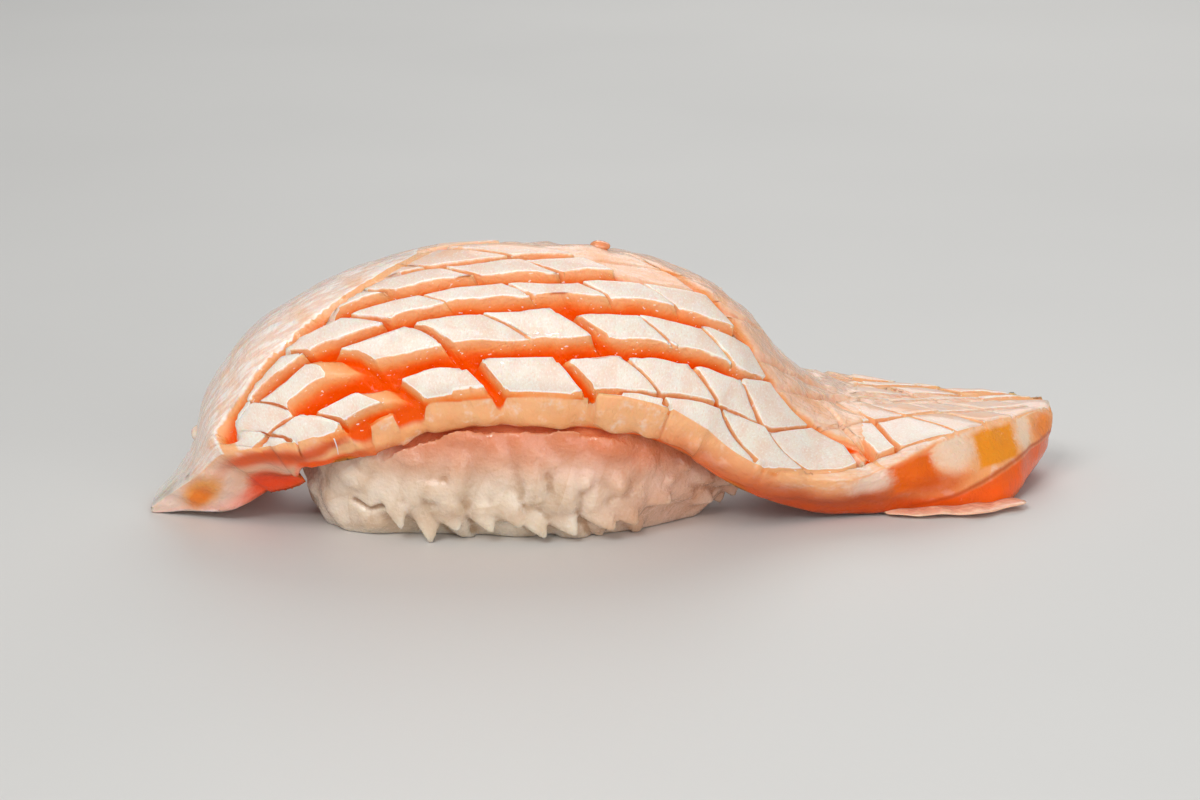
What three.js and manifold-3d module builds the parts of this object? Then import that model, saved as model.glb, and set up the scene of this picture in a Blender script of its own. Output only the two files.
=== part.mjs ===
// Salmon nigiri: a scored slice of salmon draped over a pressed block of rice.
// Millimetres, +Z up. The part stands on z = 0 with its origin under its middle.
//
// The slice is made flat first, in slice coordinates: s runs along its crown from the left tip
// to the right end, t runs across it from the near edge (-1) to the far edge (+1), and w is the
// depth below the skin. It is scored and trimmed flat, and then every vertex is bent into place.

import * as THREE from "three";
import { mergeVertices } from "three/addons/utils/BufferGeometryUtils.js";
import Module from "manifold-3d";

const wasm = await Module();
wasm.setup();

// ---------------------------------------------------------------- driving dimensions

// The bent slice, section by section along its crown: place of the crown (x, z), middle of the
// section (y), half widths and drops of its near and far edges, thickness at crown and near edge.
const SECTIONS = [
  { x: -47.8, z: 0.5, y: 0.5, near: 1.5, far: 9.0, nearDrop: 0.2, farDrop: 0.6, thick: 0.5, rim: 0.5 },
  { x: -45.4, z: 3.2, y: 0.8, near: 4.0, far: 10.0, nearDrop: 0.6, farDrop: 1.4, thick: 2.6, rim: 2.6 },
  { x: -42.9, z: 7.4, y: 1.0, near: 8.0, far: 12.0, nearDrop: 2.0, farDrop: 3.5, thick: 7.0, rim: 6.2 },
  { x: -41.6, z: 12.4, y: 1.0, near: 11.0, far: 12.5, nearDrop: 4.6, farDrop: 4.5, thick: 8.5, rim: 8.3 },
  { x: -38.4, z: 17.6, y: 1.0, near: 13.0, far: 13.5, nearDrop: 9.0, farDrop: 6.6, thick: 8.5, rim: 8.0 },
  { x: -36.4, z: 19.7, y: 1.0, near: 13.6, far: 13.7, nearDrop: 10.4, farDrop: 7.5, thick: 8.4, rim: 3.0 },
  { x: -34.2, z: 21.4, y: 1.0, near: 14.0, far: 13.8, nearDrop: 11.6, farDrop: 8.2, thick: 8.2, rim: 2.3 },
  { x: -28.6, z: 24.6, y: 1.0, near: 14.6, far: 14.0, nearDrop: 12.6, farDrop: 9.6, thick: 8.0, rim: 4.2 },
  { x: -20.0, z: 27.6, y: 1.0, near: 15.0, far: 14.0, nearDrop: 12.5, farDrop: 11.0, thick: 7.8, rim: 6.0 },
  { x: -10.0, z: 28.9, y: 1.0, near: 15.0, far: 14.0, nearDrop: 12.8, farDrop: 12.0, thick: 7.5, rim: 5.6 },
  { x: 0.0, z: 28.6, y: 1.0, near: 15.0, far: 14.0, nearDrop: 12.9, farDrop: 12.0, thick: 7.5, rim: 5.3 },
  { x: 9.0, z: 26.0, y: 1.5, near: 15.0, far: 13.5, nearDrop: 12.0, farDrop: 10.0, thick: 7.5, rim: 4.3 },
  { x: 15.5, z: 21.6, y: 2.5, near: 15.0, far: 13.0, nearDrop: 11.0, farDrop: 7.0, thick: 7.5, rim: 3.4 },
  { x: 20.2, z: 15.6, y: 4.5, near: 15.0, far: 11.5, nearDrop: 9.0, farDrop: 3.5, thick: 7.4, rim: 3.4 },
  { x: 26.0, z: 10.8, y: 7.0, near: 13.4, far: 10.5, nearDrop: 6.2, farDrop: 0.2, thick: 7.4, rim: 5.0 },
  { x: 34.0, z: 8.8, y: 8.0, near: 12.0, far: 10.0, nearDrop: 2.8, farDrop: -0.4, thick: 7.4, rim: 6.2 },
  { x: 42.0, z: 8.1, y: 8.0, near: 10.6, far: 10.0, nearDrop: 2.2, farDrop: -0.4, thick: 7.2, rim: 5.6 },
  { x: 49.6, z: 7.5, y: 8.0, near: 9.0, far: 10.0, nearDrop: 1.8, farDrop: -0.2, thick: 5.6, rim: 3.0 },
];
const WRAP = THREE.MathUtils.degToRad(72); // turn of the skin from crown to edge
const PITCH_EASE = 0.6; // how far the sections lean with the slope of the crown
const FLAT_HALF = 15; // half width of the slice while it lies flat
const ORIGIN = { x: 1.05, y: 2.36 }; // the part's origin, in the millimetres of the sections

// Cuts along the slice, near to far: t on the crown, the s from which each climbs to the far side,
// and how far the skin stands back from it on its near and far side.
const LONG_CUTS = [
  { t: -1.3, from: 70, back: [0.3, 0.3] },
  { t: -1.13, from: 64, back: [0.3, 0.35] },
  { t: -0.97, from: 56, back: [0.25, 0.3] },
  { t: -0.81, from: 51, back: [0.7, 1.3] },
  { t: -0.575, from: 52, back: [0.6, 1] },
  { t: -0.42, from: 48, back: [0.45, 1.2] },
  { t: -0.25, from: 46, back: [0.4, 0.5] },
  { t: -0.02, from: 44, back: [0.5, 0.7] },
  { t: 0.24, from: 44, back: [0.45, 0.55] },
  { t: 0.5, from: 44, back: [0.5, 0.6] },
  { t: 0.76, from: 44, back: [0.4, 0.5] },
  { t: 1.1, from: 44, back: [0.4, 0.4] },
];
const CLIMB = 2.7e-4; // climb of a cut per mm squared, over its first stretch
const CLIMB_RUN = 30; // length of that stretch
const TURN = 0.038; // climb per mm after it
const FOOT_S = 30; // the cuts droop again left of this s
const FOOT_DROOP = { rate: 0.0011, most: 0.3, full: -0.5 }; // t per mm squared, most, and full from this t

// Slanting cuts across the slice, left to right: s where each meets the levels of t, and how far
// the skin stands back from it on its left and right.
const CROSS_LEVELS = [-1, -0.65, -0.3, 1];
const CROSS_CUTS = [
  { s: [20, 2, -15, -65], back: [0.3, 0.3] },
  { s: [26, 9.8, -7, -55], back: [0.35, 0.4] },
  { s: [33.5, 20, 3, -45], back: [0.3, 0.35] },
  { s: [42, 34, 17, -35], back: [0.5, 0.9] },
  { s: [51.5, 42.8, 28.5, -25], back: [0.7, 0.7] },
  { s: [62.8, 51.1, 36, -15], back: [0.3, 0.35] },
  { s: [73.3, 59.5, 46, -5], back: [0.5, 0.7] },
  { s: [88.5, 69.6, 54.8, 5], back: [0.35, 0.4] },
  { s: [93.4, 82, 62.8, 15], back: [0.35, 0.4] },
  { s: [97.3, 94.4, 75, 25], back: [0.7, 0.9] },
  { s: [98.7, 96, 91.8, 42], back: [0.5, 0.5] },
  { s: [101.5, 99, 96.6, 56], back: [0.45, 0.55] },
  { s: [113, 109, 104.2, 68], back: [0.4, 0.4] },
  { s: [122, 118, 112, 79], back: [0.35, 0.35] },
  { s: [131, 127, 121, 90], back: [0.35, 0.35] },
  { s: [140, 136, 130, 101], back: [0.35, 0.35] },
  { s: [149, 145, 139, 112], back: [0.35, 0.35] },
];
const LONG_PITCH = 4.2; // usual distance between neighbouring cuts of each family
const CROSS_PITCH = 9;
const WIDEST = 0.3; // most of that distance that the skin stands back
const CUT_DEPTH = 2.7; // depth of an open cut
const OPEN_FULL = 0.8; // stand-back at which a cut reaches that depth
const DEEPEST = 0.55; // most of the slice's thickness that a cut goes through
const T_SPAN = [-1.4, 1.6]; // range of t in which crossings of the cuts are looked for
const SETTLE = 0.5; // step and number of rounds of that search
const SETTLE_ROUNDS = 40;
const MARGIN = { left: 14, right: 42, low: -0.78, high: 0 }; // edge of the unscored left end
const MARGIN_FADE = 5; // length over which the cuts run out there

// Trimmed outline at the skin and at the underside, from the near edge round the right end.
const NEAR_END = 92;
const FAR_END = 116.4;
const END_AT_SKIN = [
  [92, -1], [95, -0.99], [99.2, -0.88], [106, -0.42], [112, 0], [117, 0.4], [117.6, 0.75], [116.4, 1],
];
const END_AT_UNDERSIDE = [
  [92, -1], [95.5, -1], [101.5, -1], [108, -0.93], [113, -0.55], [116.6, 0.3], [117, 0.7], [116.4, 1],
];
const UNDERSIDE_DEPTH = 7.4;
// How far the cut side face stands out (+) or in (-) of that outline, by depth.
const SIDE_PROFILE = [[-4, -0.5], [0, -0.5], [0.9, 0], [2.6, 0.45], [4.4, 0.1], [6.4, -0.8], [12, -1.4]];

// Fineness of the flat slice: steps along the outline's end and straight sides, and on the underside.
const END_STEPS = 20;
const SIDE_STEPS = 18;
const UNDERSIDE_GRID = { columns: 44, rows: 10, past: 4, side: 1.2 };
const ABOVE = 6; // how far helper solids reach above the skin, and below everything
const BELOW = -20;
const ROOM = [300, 200, 100]; // size of the space above the table, which holds the whole part

// The pressed rice: a rounded block with real grains fused over it.
const RICE = { x: -8, y: -0.4, z: 9.4, halfLength: 22.4, halfWidth: 12.0, halfHeight: 10.8 };
const RICE_SQUARENESS = 2.5; // 2 is an ellipsoid, higher is boxier
const RICE_TOP = 14.5;
const RICE_LOW = 0.6; // grains sit between these heights
const CORE_GRID = [20, 12];
const GRAIN = { length: 6.4, width: 2.9, sides: 5, rings: 4 };
const GRAIN_COUNT = 150;
const GRAIN_SIZES = [0.85, 1.12]; // smallest and largest, against that size
const GRAIN_TIP = 0.35; // most that a grain tips out of the surface
const GRAIN_SINK = 0.25; // part of a grain's half width sunk below the core's surface
const GAP = 0.35; // clear space between rice and salmon
const CLEARANCE_GRID = { columns: 40, rows: 12, side: 1.05 };
const SEED = 20240519;

// ---------------------------------------------------------------- helpers

const { clamp, lerp, smoothstep } = THREE.MathUtils;

function seededRandom(seed) {
  let state = seed >>> 0;
  return () => {
    state = (Math.imul(state, 1664525) + 1013904223) >>> 0;
    return state / 4294967296;
  };
}

// Piecewise straight line through [place, value] pairs.
function along(pairs, place) {
  const last = pairs.length - 1;
  if (place <= pairs[0][0]) {
    return pairs[0][1];
  }
  for (let k = 1; k <= last; k++) {
    if (place <= pairs[k][0]) {
      const [a, from] = pairs[k - 1];
      const [b, to] = pairs[k];
      return lerp(from, to, (place - a) / (b - a));
    }
  }
  return pairs[last][1];
}

// Closed mesh from vertices and triangles, as a solid that can be joined and cut.
function solidFrom(vertices, triangles) {
  return new wasm.Manifold(new wasm.Mesh({
    numProp: 3,
    vertProperties: Float32Array.from(vertices.flat()),
    triVerts: Uint32Array.from(triangles.flat()),
    faceID: Uint32Array.from(triangles, (_, index) => index),
  }));
}

function solidFromGeometry(geometry) {
  const bare = geometry.clone();
  bare.deleteAttribute("normal");
  bare.deleteAttribute("uv");
  const welded = mergeVertices(bare, 1e-4);
  return new wasm.Manifold(new wasm.Mesh({
    numProp: 3,
    vertProperties: Float32Array.from(welded.attributes.position.array),
    triVerts: Uint32Array.from(welded.index.array),
  }));
}

function verticesAndTriangles(solid) {
  const mesh = solid.getMesh();
  const vertices = [];
  for (let k = 0; k < mesh.numVert; k++) {
    vertices.push(Array.from(mesh.vertProperties.slice(k * mesh.numProp, k * mesh.numProp + 3)));
  }
  const triangles = [];
  for (let k = 0; k < mesh.numTri; k++) {
    triangles.push(Array.from(mesh.triVerts.slice(3 * k, 3 * k + 3)));
  }
  return { vertices, triangles };
}

// Solid between two grids of the same size, upper(i, j) above lower(i, j).
function solidBetween(columns, rows, upper, lower) {
  const vertices = [];
  const triangles = [];
  const stride = rows + 1;
  const at = (i, j) => i * stride + j;
  const below = (columns + 1) * stride;
  for (const grid of [upper, lower]) {
    for (let i = 0; i <= columns; i++) {
      for (let j = 0; j <= rows; j++) {
        vertices.push(grid(i, j));
      }
    }
  }
  for (let i = 0; i < columns; i++) {
    for (let j = 0; j < rows; j++) {
      const [a, b, c, d] = [at(i, j), at(i + 1, j), at(i + 1, j + 1), at(i, j + 1)];
      triangles.push([a, b, c], [a, c, d]);
      triangles.push([below + a, below + c, below + b], [below + a, below + d, below + c]);
    }
  }
  const wall = (a, b) => triangles.push([a, below + a, below + b], [a, below + b, b]);
  for (let i = 0; i < columns; i++) {
    wall(at(i, 0), at(i + 1, 0));
    wall(at(i + 1, rows), at(i, rows));
  }
  for (let j = 0; j < rows; j++) {
    wall(at(0, j + 1), at(0, j));
    wall(at(columns, j), at(columns, j + 1));
  }
  return solidFrom(vertices, triangles);
}

function boxSolid(size, centre) {
  const box = new THREE.BoxGeometry(...size);
  box.translate(...centre);
  return solidFromGeometry(box);
}

// ---------------------------------------------------------------- the bent slice

const KEYS = ["x", "z", "y", "near", "far", "nearDrop", "farDrop", "thick", "rim"];

// s of each section, as the length of the crown up to it.
const SECTION_S = SECTIONS.reduce((list, section, k) => {
  const previous = SECTIONS[k - 1];
  list.push(k === 0 ? 0 : list[k - 1] + Math.hypot(section.x - previous.x, section.z - previous.z));
  return list;
}, []);
const LENGTH = SECTION_S[SECTION_S.length - 1];

function slope(k, key) {
  const a = Math.max(k - 1, 0);
  const b = Math.min(k + 1, SECTIONS.length - 1);
  return (SECTIONS[b][key] - SECTIONS[a][key]) / (SECTION_S[b] - SECTION_S[a]);
}

// Section values at s, with the direction (dx, dz) of the crown, by cubic interpolation.
function sectionAt(s) {
  const place = clamp(s, 0, LENGTH);
  let k = 0;
  while (k < SECTIONS.length - 2 && SECTION_S[k + 1] < place) {
    k++;
  }
  const step = SECTION_S[k + 1] - SECTION_S[k];
  const u = (place - SECTION_S[k]) / step;
  const section = {};
  for (const key of KEYS) {
    const [from, to] = [SECTIONS[k][key], SECTIONS[k + 1][key]];
    const [m0, m1] = [slope(k, key) * step, slope(k + 1, key) * step];
    section[key] = from * (2 * u ** 3 - 3 * u ** 2 + 1) + m0 * (u ** 3 - 2 * u ** 2 + u)
      + to * (3 * u ** 2 - 2 * u ** 3) + m1 * (u ** 3 - u ** 2);
    if (key === "x" || key === "z") {
      section[`d${key}`] = (from - to) * (6 * u ** 2 - 6 * u) + m0 * (3 * u ** 2 - 4 * u + 1)
        + m1 * (3 * u ** 2 - 2 * u);
    }
  }
  return section;
}

// World place of the point at depth w below the skin.
function bend(s, t, w) {
  const section = sectionAt(s);
  const pitch = Math.atan2(section.dz, section.dx) * PITCH_EASE;
  const half = t < 0 ? section.near : section.far;
  const fullDrop = t < 0 ? section.nearDrop : section.farDrop;
  const turn = t * WRAP;
  const drop = fullDrop * (1 - Math.cos(turn)) / (1 - Math.cos(WRAP));
  const fall = fullDrop * Math.sin(turn) / (1 - Math.cos(WRAP));
  const spread = half * Math.cos(turn) / Math.sin(WRAP);
  const lean = 0.5 * Math.atan2(fall, spread + 1e-6);
  const inward = drop + w * Math.cos(lean);
  return [
    section.x + Math.sin(pitch) * inward,
    section.y + half * Math.sin(turn) / Math.sin(WRAP) - Math.sin(lean) * w,
    section.z - Math.cos(pitch) * inward,
  ];
}

function thickness(s, t) {
  const section = sectionAt(s);
  return lerp(section.thick, section.rim, clamp(-t, 0, 1) ** 2);
}

// ---------------------------------------------------------------- the scored skin, flat

function longCut(index, s) {
  const cut = LONG_CUTS[index];
  const run = Math.max(s - cut.from, 0);
  const climb = CLIMB * Math.min(run, CLIMB_RUN) ** 2 + TURN * Math.max(run - CLIMB_RUN, 0);
  const droop = FOOT_DROOP.rate * Math.max(FOOT_S - s, 0) ** 2 * clamp(cut.t / FOOT_DROOP.full, 0, 1);
  return cut.t + climb - Math.min(droop, FOOT_DROOP.most);
}

function crossCut(index, t) {
  return along(CROSS_LEVELS.map((level, k) => [level, CROSS_CUTS[index].s[k]]), t);
}

// Value between whole-numbered cuts.
function between(cut, place, at) {
  const k = Math.floor(place);
  const part = place - k;
  return part < 1e-9 ? cut(k, at) : lerp(cut(k, at), cut(k + 1, at), part);
}

// (s, t) where the cross line u meets the long line v.
function crossing(u, v) {
  let t = -0.5;
  let s = 0;
  for (let round = 0; round < SETTLE_ROUNDS; round++) {
    s = between(crossCut, u, t);
    t = lerp(t, clamp(between(longCut, v, s), ...T_SPAN), SETTLE);
  }
  return [s, t];
}

// Lattice lines of one family: for each cut its bottom, and the skin's edge on either side of it.
function latticeLines(cuts, pitch) {
  const lines = [];
  cuts.forEach((cut, k) => {
    const [before, after] = cut.back.map((back) => Math.min(back / pitch, WIDEST));
    if (k > 0) {
      lines.push({ place: k - before, depth: 0 });
    }
    lines.push({ place: k, depth: CUT_DEPTH * Math.min(Math.max(...cut.back) / OPEN_FULL, 1) });
    if (k < cuts.length - 1) {
      lines.push({ place: k + after, depth: 0 });
    }
  });
  return lines;
}

// 0 in the unscored left end, 1 where the slice is scored.
function scored(s, t) {
  const edge = lerp(MARGIN.left, MARGIN.right, smoothstep(t, MARGIN.low, MARGIN.high));
  return smoothstep(s, edge, edge + MARGIN_FADE);
}

function scoredSkin() {
  const crossLines = latticeLines(CROSS_CUTS, CROSS_PITCH);
  const longLines = latticeLines(LONG_CUTS, LONG_PITCH);
  const grid = crossLines.map((cross) => longLines.map((long) => {
    const [s, t] = crossing(cross.place, long.place);
    const depth = Math.max(cross.depth, long.depth) * scored(s, t);
    return [s, t * FLAT_HALF, -Math.min(depth, DEEPEST * thickness(s, t))];
  }));
  return solidBetween(
    crossLines.length - 1,
    longLines.length - 1,
    (i, j) => grid[i][j],
    (i, j) => [grid[i][j][0], grid[i][j][1], BELOW],
  );
}

function flatUnderside() {
  const { columns, rows, past, side } = UNDERSIDE_GRID;
  const place = (i, j) => [lerp(-past, LENGTH + past, i / columns), lerp(-side, side, j / rows)];
  return solidBetween(
    columns,
    rows,
    (i, j) => [place(i, j)[0], place(i, j)[1] * FLAT_HALF, ABOVE],
    (i, j) => [place(i, j)[0], place(i, j)[1] * FLAT_HALF, -thickness(...place(i, j))],
  );
}

function flatOutline(depth) {
  const part = clamp(depth / UNDERSIDE_DEPTH, 0, 1);
  const corners = END_AT_SKIN.map(([s, t], k) => {
    const [s2, t2] = END_AT_UNDERSIDE[k];
    return new THREE.Vector2(lerp(s, s2, part), lerp(t, t2, part) * FLAT_HALF);
  });
  const end = new THREE.SplineCurve(corners).getPoints(END_STEPS);
  const near = [];
  const far = [];
  for (let k = 0; k < SIDE_STEPS; k++) {
    near.push(new THREE.Vector2(NEAR_END * k / SIDE_STEPS, -FLAT_HALF));
    far.push(new THREE.Vector2(FAR_END * (1 - (k + 1) / SIDE_STEPS), FLAT_HALF));
  }
  const left = [0.5, 0, -0.5].map((t) => new THREE.Vector2(0, t * FLAT_HALF));
  return [...near, ...end, ...far, ...left];
}

function offsetOutline(points, distance) {
  return points.map((point, k) => {
    const before = points[(k + points.length - 1) % points.length];
    const after = points[(k + 1) % points.length];
    const outward = new THREE.Vector2(after.y - before.y, before.x - after.x).normalize();
    return point.clone().addScaledVector(outward, distance);
  });
}

function flatTrim() {
  const rings = SIDE_PROFILE.map(([depth, offset]) => {
    return offsetOutline(flatOutline(depth), offset).map((point) => [point.x, point.y, -depth]);
  });
  const count = rings[0].length;
  const vertices = rings.flat();
  const triangles = [];
  for (let ring = 0; ring < rings.length - 1; ring++) {
    for (let k = 0; k < count; k++) {
      const [a, b] = [ring * count + k, ring * count + (k + 1) % count];
      triangles.push([a, a + count, b + count], [a, b + count, b]);
    }
  }
  const middle = [LENGTH / 2, 0];
  const caps = [[0, 1], [(rings.length - 1) * count, -1]];
  for (const [first, facing] of caps) {
    const hub = vertices.length;
    vertices.push([...middle, vertices[first][2]]);
    for (let k = 0; k < count; k++) {
      const [a, b] = [first + k, first + (k + 1) % count];
      triangles.push(facing > 0 ? [hub, a, b] : [hub, b, a]);
    }
  }
  return solidFrom(vertices, triangles);
}

function bentSolid(flat) {
  const { vertices, triangles } = verticesAndTriangles(flat);
  return solidFrom(vertices.map(([x, y, z]) => bend(x, y / FLAT_HALF, -z)), triangles);
}

const ABOVE_TABLE = boxSolid(ROOM, [0, 0, ROOM[2] / 2]);

function salmonSolid() {
  const flat = scoredSkin().intersect(flatUnderside()).intersect(flatTrim());
  return bentSolid(flat).intersect(ABOVE_TABLE);
}

// ---------------------------------------------------------------- the rice

// Point of the core's surface in the direction (a, b, c), and its outward normal.
function coreSurface(direction) {
  const [a, b, c] = direction;
  const power = RICE_SQUARENESS;
  const half = [RICE.halfLength, RICE.halfWidth, RICE.halfHeight];
  const size = [a, b, c].reduce((sum, part, k) => sum + Math.abs(part / half[k]) ** power, 0);
  const reach = size ** (-1 / power);
  const point = new THREE.Vector3(a * reach + RICE.x, b * reach + RICE.y, c * reach + RICE.z);
  const normal = new THREE.Vector3(...[a, b, c].map((part, k) => {
    return Math.sign(part) * Math.abs(part * reach / half[k]) ** (power - 1) / half[k];
  })).normalize();
  return { point, normal };
}

function riceCore() {
  const ball = new THREE.SphereGeometry(1, ...CORE_GRID);
  const place = ball.attributes.position;
  for (let k = 0; k < place.count; k++) {
    const { point } = coreSurface([place.getX(k), place.getY(k), place.getZ(k)]);
    place.setXYZ(k, point.x, point.y, point.z);
  }
  return solidFromGeometry(ball);
}

function grainSolid(point, axis, size) {
  const grain = new THREE.SphereGeometry(1, GRAIN.sides, GRAIN.rings);
  grain.scale(GRAIN.width / 2 * size, GRAIN.length / 2 * size, GRAIN.width / 2 * size);
  const turn = new THREE.Quaternion().setFromUnitVectors(new THREE.Vector3(0, 1, 0), axis);
  grain.applyQuaternion(turn);
  grain.translate(point.x, point.y, point.z);
  return solidFromGeometry(grain);
}

// Grains spread evenly over the core by the golden angle, each lying nearly flat on it.
function riceGrains() {
  const random = seededRandom(SEED);
  const golden = Math.PI * (3 - Math.sqrt(5));
  const grains = [];
  for (let k = 0; k < GRAIN_COUNT; k++) {
    const up = 1 - 2 * (k + 0.5) / GRAIN_COUNT;
    const ring = Math.sqrt(1 - up * up);
    const angle = golden * k;
    const direction = [
      Math.cos(angle) * ring * RICE.halfLength,
      up * RICE.halfWidth,
      Math.sin(angle) * ring * RICE.halfHeight,
    ];
    const { point, normal } = coreSurface(direction);
    const size = lerp(...GRAIN_SIZES, random());
    const spin = random() * Math.PI;
    const tip = lerp(-GRAIN_TIP, GRAIN_TIP, random());
    if (point.z < RICE_LOW || point.z > RICE_TOP) {
      continue;
    }
    const side = new THREE.Vector3(0, 0, 1).cross(normal).normalize();
    const rise = normal.clone().cross(side);
    const axis = side.multiplyScalar(Math.cos(spin)).addScaledVector(rise, Math.sin(spin));
    axis.addScaledVector(normal, tip).normalize();
    const centre = point.addScaledVector(normal, -GRAIN_SINK * GRAIN.width / 2 * size);
    grains.push(grainSolid(centre, axis, size));
  }
  return grains;
}

// The space that the slice takes up, with the clear gap below it.
function clearance() {
  const { columns, rows, side } = CLEARANCE_GRID;
  const place = (i, j) => [lerp(0, LENGTH, i / columns), lerp(-side, side, j / rows)];
  return solidBetween(
    columns,
    rows,
    (i, j) => bend(...place(i, j), -ABOVE),
    (i, j) => bend(...place(i, j), thickness(...place(i, j)) + GAP),
  );
}

function riceSolid() {
  const heap = riceGrains().reduce((sum, grain) => sum.add(grain), riceCore());
  const trimmed = heap.subtract(clearance()).intersect(ABOVE_TABLE);
  return trimmed.decompose().reduce((most, piece) => (piece.volume() > most.volume() ? piece : most));
}

// ---------------------------------------------------------------- meshes

const SALMON_FLESH = new THREE.MeshStandardMaterial({ color: 0xf3b795, roughness: 0.3, metalness: 0 });
const COOKED_RICE = new THREE.MeshStandardMaterial({ color: 0xe6d6bd, roughness: 0.4, metalness: 0 });

function namedMesh(name, solid, material) {
  const { vertices, triangles } = verticesAndTriangles(solid);
  const geometry = new THREE.BufferGeometry();
  geometry.setAttribute("position", new THREE.Float32BufferAttribute(vertices.flat(), 3));
  geometry.setIndex(triangles.flat());
  geometry.computeVertexNormals();
  const mesh = new THREE.Mesh(geometry, material);
  mesh.name = name;
  return mesh;
}

const group = new THREE.Group();
group.add(namedMesh("salmon", salmonSolid(), SALMON_FLESH));
group.add(namedMesh("rice", riceSolid(), COOKED_RICE));

group.position.set(-ORIGIN.x, -ORIGIN.y, 0);

export default group;
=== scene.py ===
import math

import bpy
import numpy as np
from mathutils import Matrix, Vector
from mathutils.geometry import delaunay_2d_cdt


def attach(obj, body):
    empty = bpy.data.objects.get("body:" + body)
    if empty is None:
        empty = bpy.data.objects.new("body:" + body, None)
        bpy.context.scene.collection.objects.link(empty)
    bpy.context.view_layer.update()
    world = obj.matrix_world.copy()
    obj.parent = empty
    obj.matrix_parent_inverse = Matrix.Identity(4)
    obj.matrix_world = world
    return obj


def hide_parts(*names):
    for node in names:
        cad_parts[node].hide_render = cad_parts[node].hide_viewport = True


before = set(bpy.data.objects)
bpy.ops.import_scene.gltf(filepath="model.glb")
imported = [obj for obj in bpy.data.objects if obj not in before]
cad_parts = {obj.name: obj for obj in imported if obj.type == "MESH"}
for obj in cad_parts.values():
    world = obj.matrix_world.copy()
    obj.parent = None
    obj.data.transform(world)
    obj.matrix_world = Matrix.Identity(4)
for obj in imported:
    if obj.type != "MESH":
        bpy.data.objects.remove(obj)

bl_info = {
    "name": "Salmon nigiri",
    "version": (1, 0, 0),
    "blender": (4, 5, 0),
    "location": "View3D > Sidebar > Nigiri",
    "description": "Builds a scored salmon slice over a pressed block of rice, round its packed frame",
    "category": "Add Mesh",
}

MM = 0.001
ROOT = "root"

# ---------------------------------------------------------------- the bent slice
# s runs along the crown from the left tip, t across from the near edge (-1) to the far edge (+1),
# w is the depth below the skin. Lengths here are in millimetres until a piece is made.

ORIGIN = np.array([1.05, 2.36, 0.0])  # where the part's origin lies in the slice's own millimetres

# crown x and z, middle y, near and far half width, near and far drop, thickness at crown and near edge
SECTIONS = np.array([
    [-47.8, 0.5, 0.5, 1.5, 9.0, 0.2, 0.6, 0.5, 0.5],
    [-45.4, 3.2, 0.8, 4.0, 10.0, 0.6, 1.4, 2.6, 2.6],
    [-42.9, 7.4, 1.0, 8.0, 12.0, 2.0, 3.5, 7.0, 6.2],
    [-41.6, 12.4, 1.0, 11.0, 12.5, 4.6, 4.5, 8.5, 8.3],
    [-38.4, 17.6, 1.0, 13.0, 13.5, 9.0, 6.6, 8.5, 8.0],
    [-36.4, 19.7, 1.0, 13.6, 13.7, 10.4, 7.5, 8.4, 3.0],
    [-34.2, 21.4, 1.0, 14.0, 13.8, 11.6, 8.2, 8.2, 2.3],
    [-28.6, 24.6, 1.0, 14.6, 14.0, 12.6, 9.6, 8.0, 4.2],
    [-20.0, 27.6, 1.0, 15.0, 14.0, 12.5, 11.0, 7.8, 6.0],
    [-10.0, 28.9, 1.0, 15.0, 14.0, 12.8, 12.0, 7.5, 5.6],
    [0.0, 28.6, 1.0, 15.0, 14.0, 12.9, 12.0, 7.5, 5.3],
    [9.0, 26.0, 1.5, 15.0, 13.5, 12.0, 10.0, 7.5, 4.3],
    [15.5, 21.6, 2.5, 15.0, 13.0, 11.0, 7.0, 7.5, 3.4],
    [20.2, 15.6, 4.5, 15.0, 11.5, 9.0, 3.5, 7.4, 3.4],
    [26.0, 10.8, 7.0, 13.4, 10.5, 6.2, 0.2, 7.4, 5.0],
    [34.0, 8.8, 8.0, 12.0, 10.0, 2.8, -0.4, 7.4, 6.2],
    [42.0, 8.1, 8.0, 10.6, 10.0, 2.2, -0.4, 7.2, 5.6],
    [49.6, 7.5, 8.0, 9.0, 10.0, 1.8, -0.2, 5.6, 3.0],
])
WRAP = math.radians(72)  # how far the slice turns over from crown to edge
PITCH_EASE = 0.6  # share of the crown's slope by which the slice's sections lean
FLAT_HALF = 15.0  # length that stands for one unit of t where the slice is laid out flat

SECTION_S = np.concatenate([[0.0], np.cumsum(np.hypot(*np.diff(SECTIONS[:, :2], axis=0).T))])
LENGTH = SECTION_S[-1]
_before = np.maximum(np.arange(len(SECTIONS)) - 1, 0)
_after = np.minimum(np.arange(len(SECTIONS)) + 1, len(SECTIONS) - 1)
SECTION_SLOPE = (SECTIONS[_after] - SECTIONS[_before]) / (SECTION_S[_after] - SECTION_S[_before])[:, None]

# Cuts along the slice: t on the crown, s where each starts to climb, and how far the skin stands
# back from it, in mm, on its near and on its far side.
LONG_CUTS = np.array([
    [-1.3, 70, 0.3, 0.3], [-1.13, 64, 0.3, 0.35], [-0.97, 56, 0.25, 0.3], [-0.81, 51, 0.6, 1.2],
    [-0.575, 52, 0.6, 0.95], [-0.42, 48, 0.45, 1.2], [-0.25, 46, 0.4, 0.5], [-0.02, 44, 0.5, 0.7],
    [0.24, 44, 0.45, 0.55], [0.5, 44, 0.5, 0.6], [0.76, 44, 0.4, 0.5], [1.1, 44, 0.4, 0.4],
])
# Past its start a cut climbs towards the crown, faster and faster and then evenly; at the foot it droops.
CLIMB = 2.7e-4
CLIMB_RUN = 30.0
TURN = 0.038
FOOT_S = 30.0
FOOT_DROOP = 0.0011
DROOP_MOST, DROOP_FULL = 0.3, 0.5  # its limit, and how far from the crown it is full
LONG_WAVER, CROSS_WAVER = 0.006, 0.18  # how far hand-made cuts waver, in t and in mm

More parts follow.
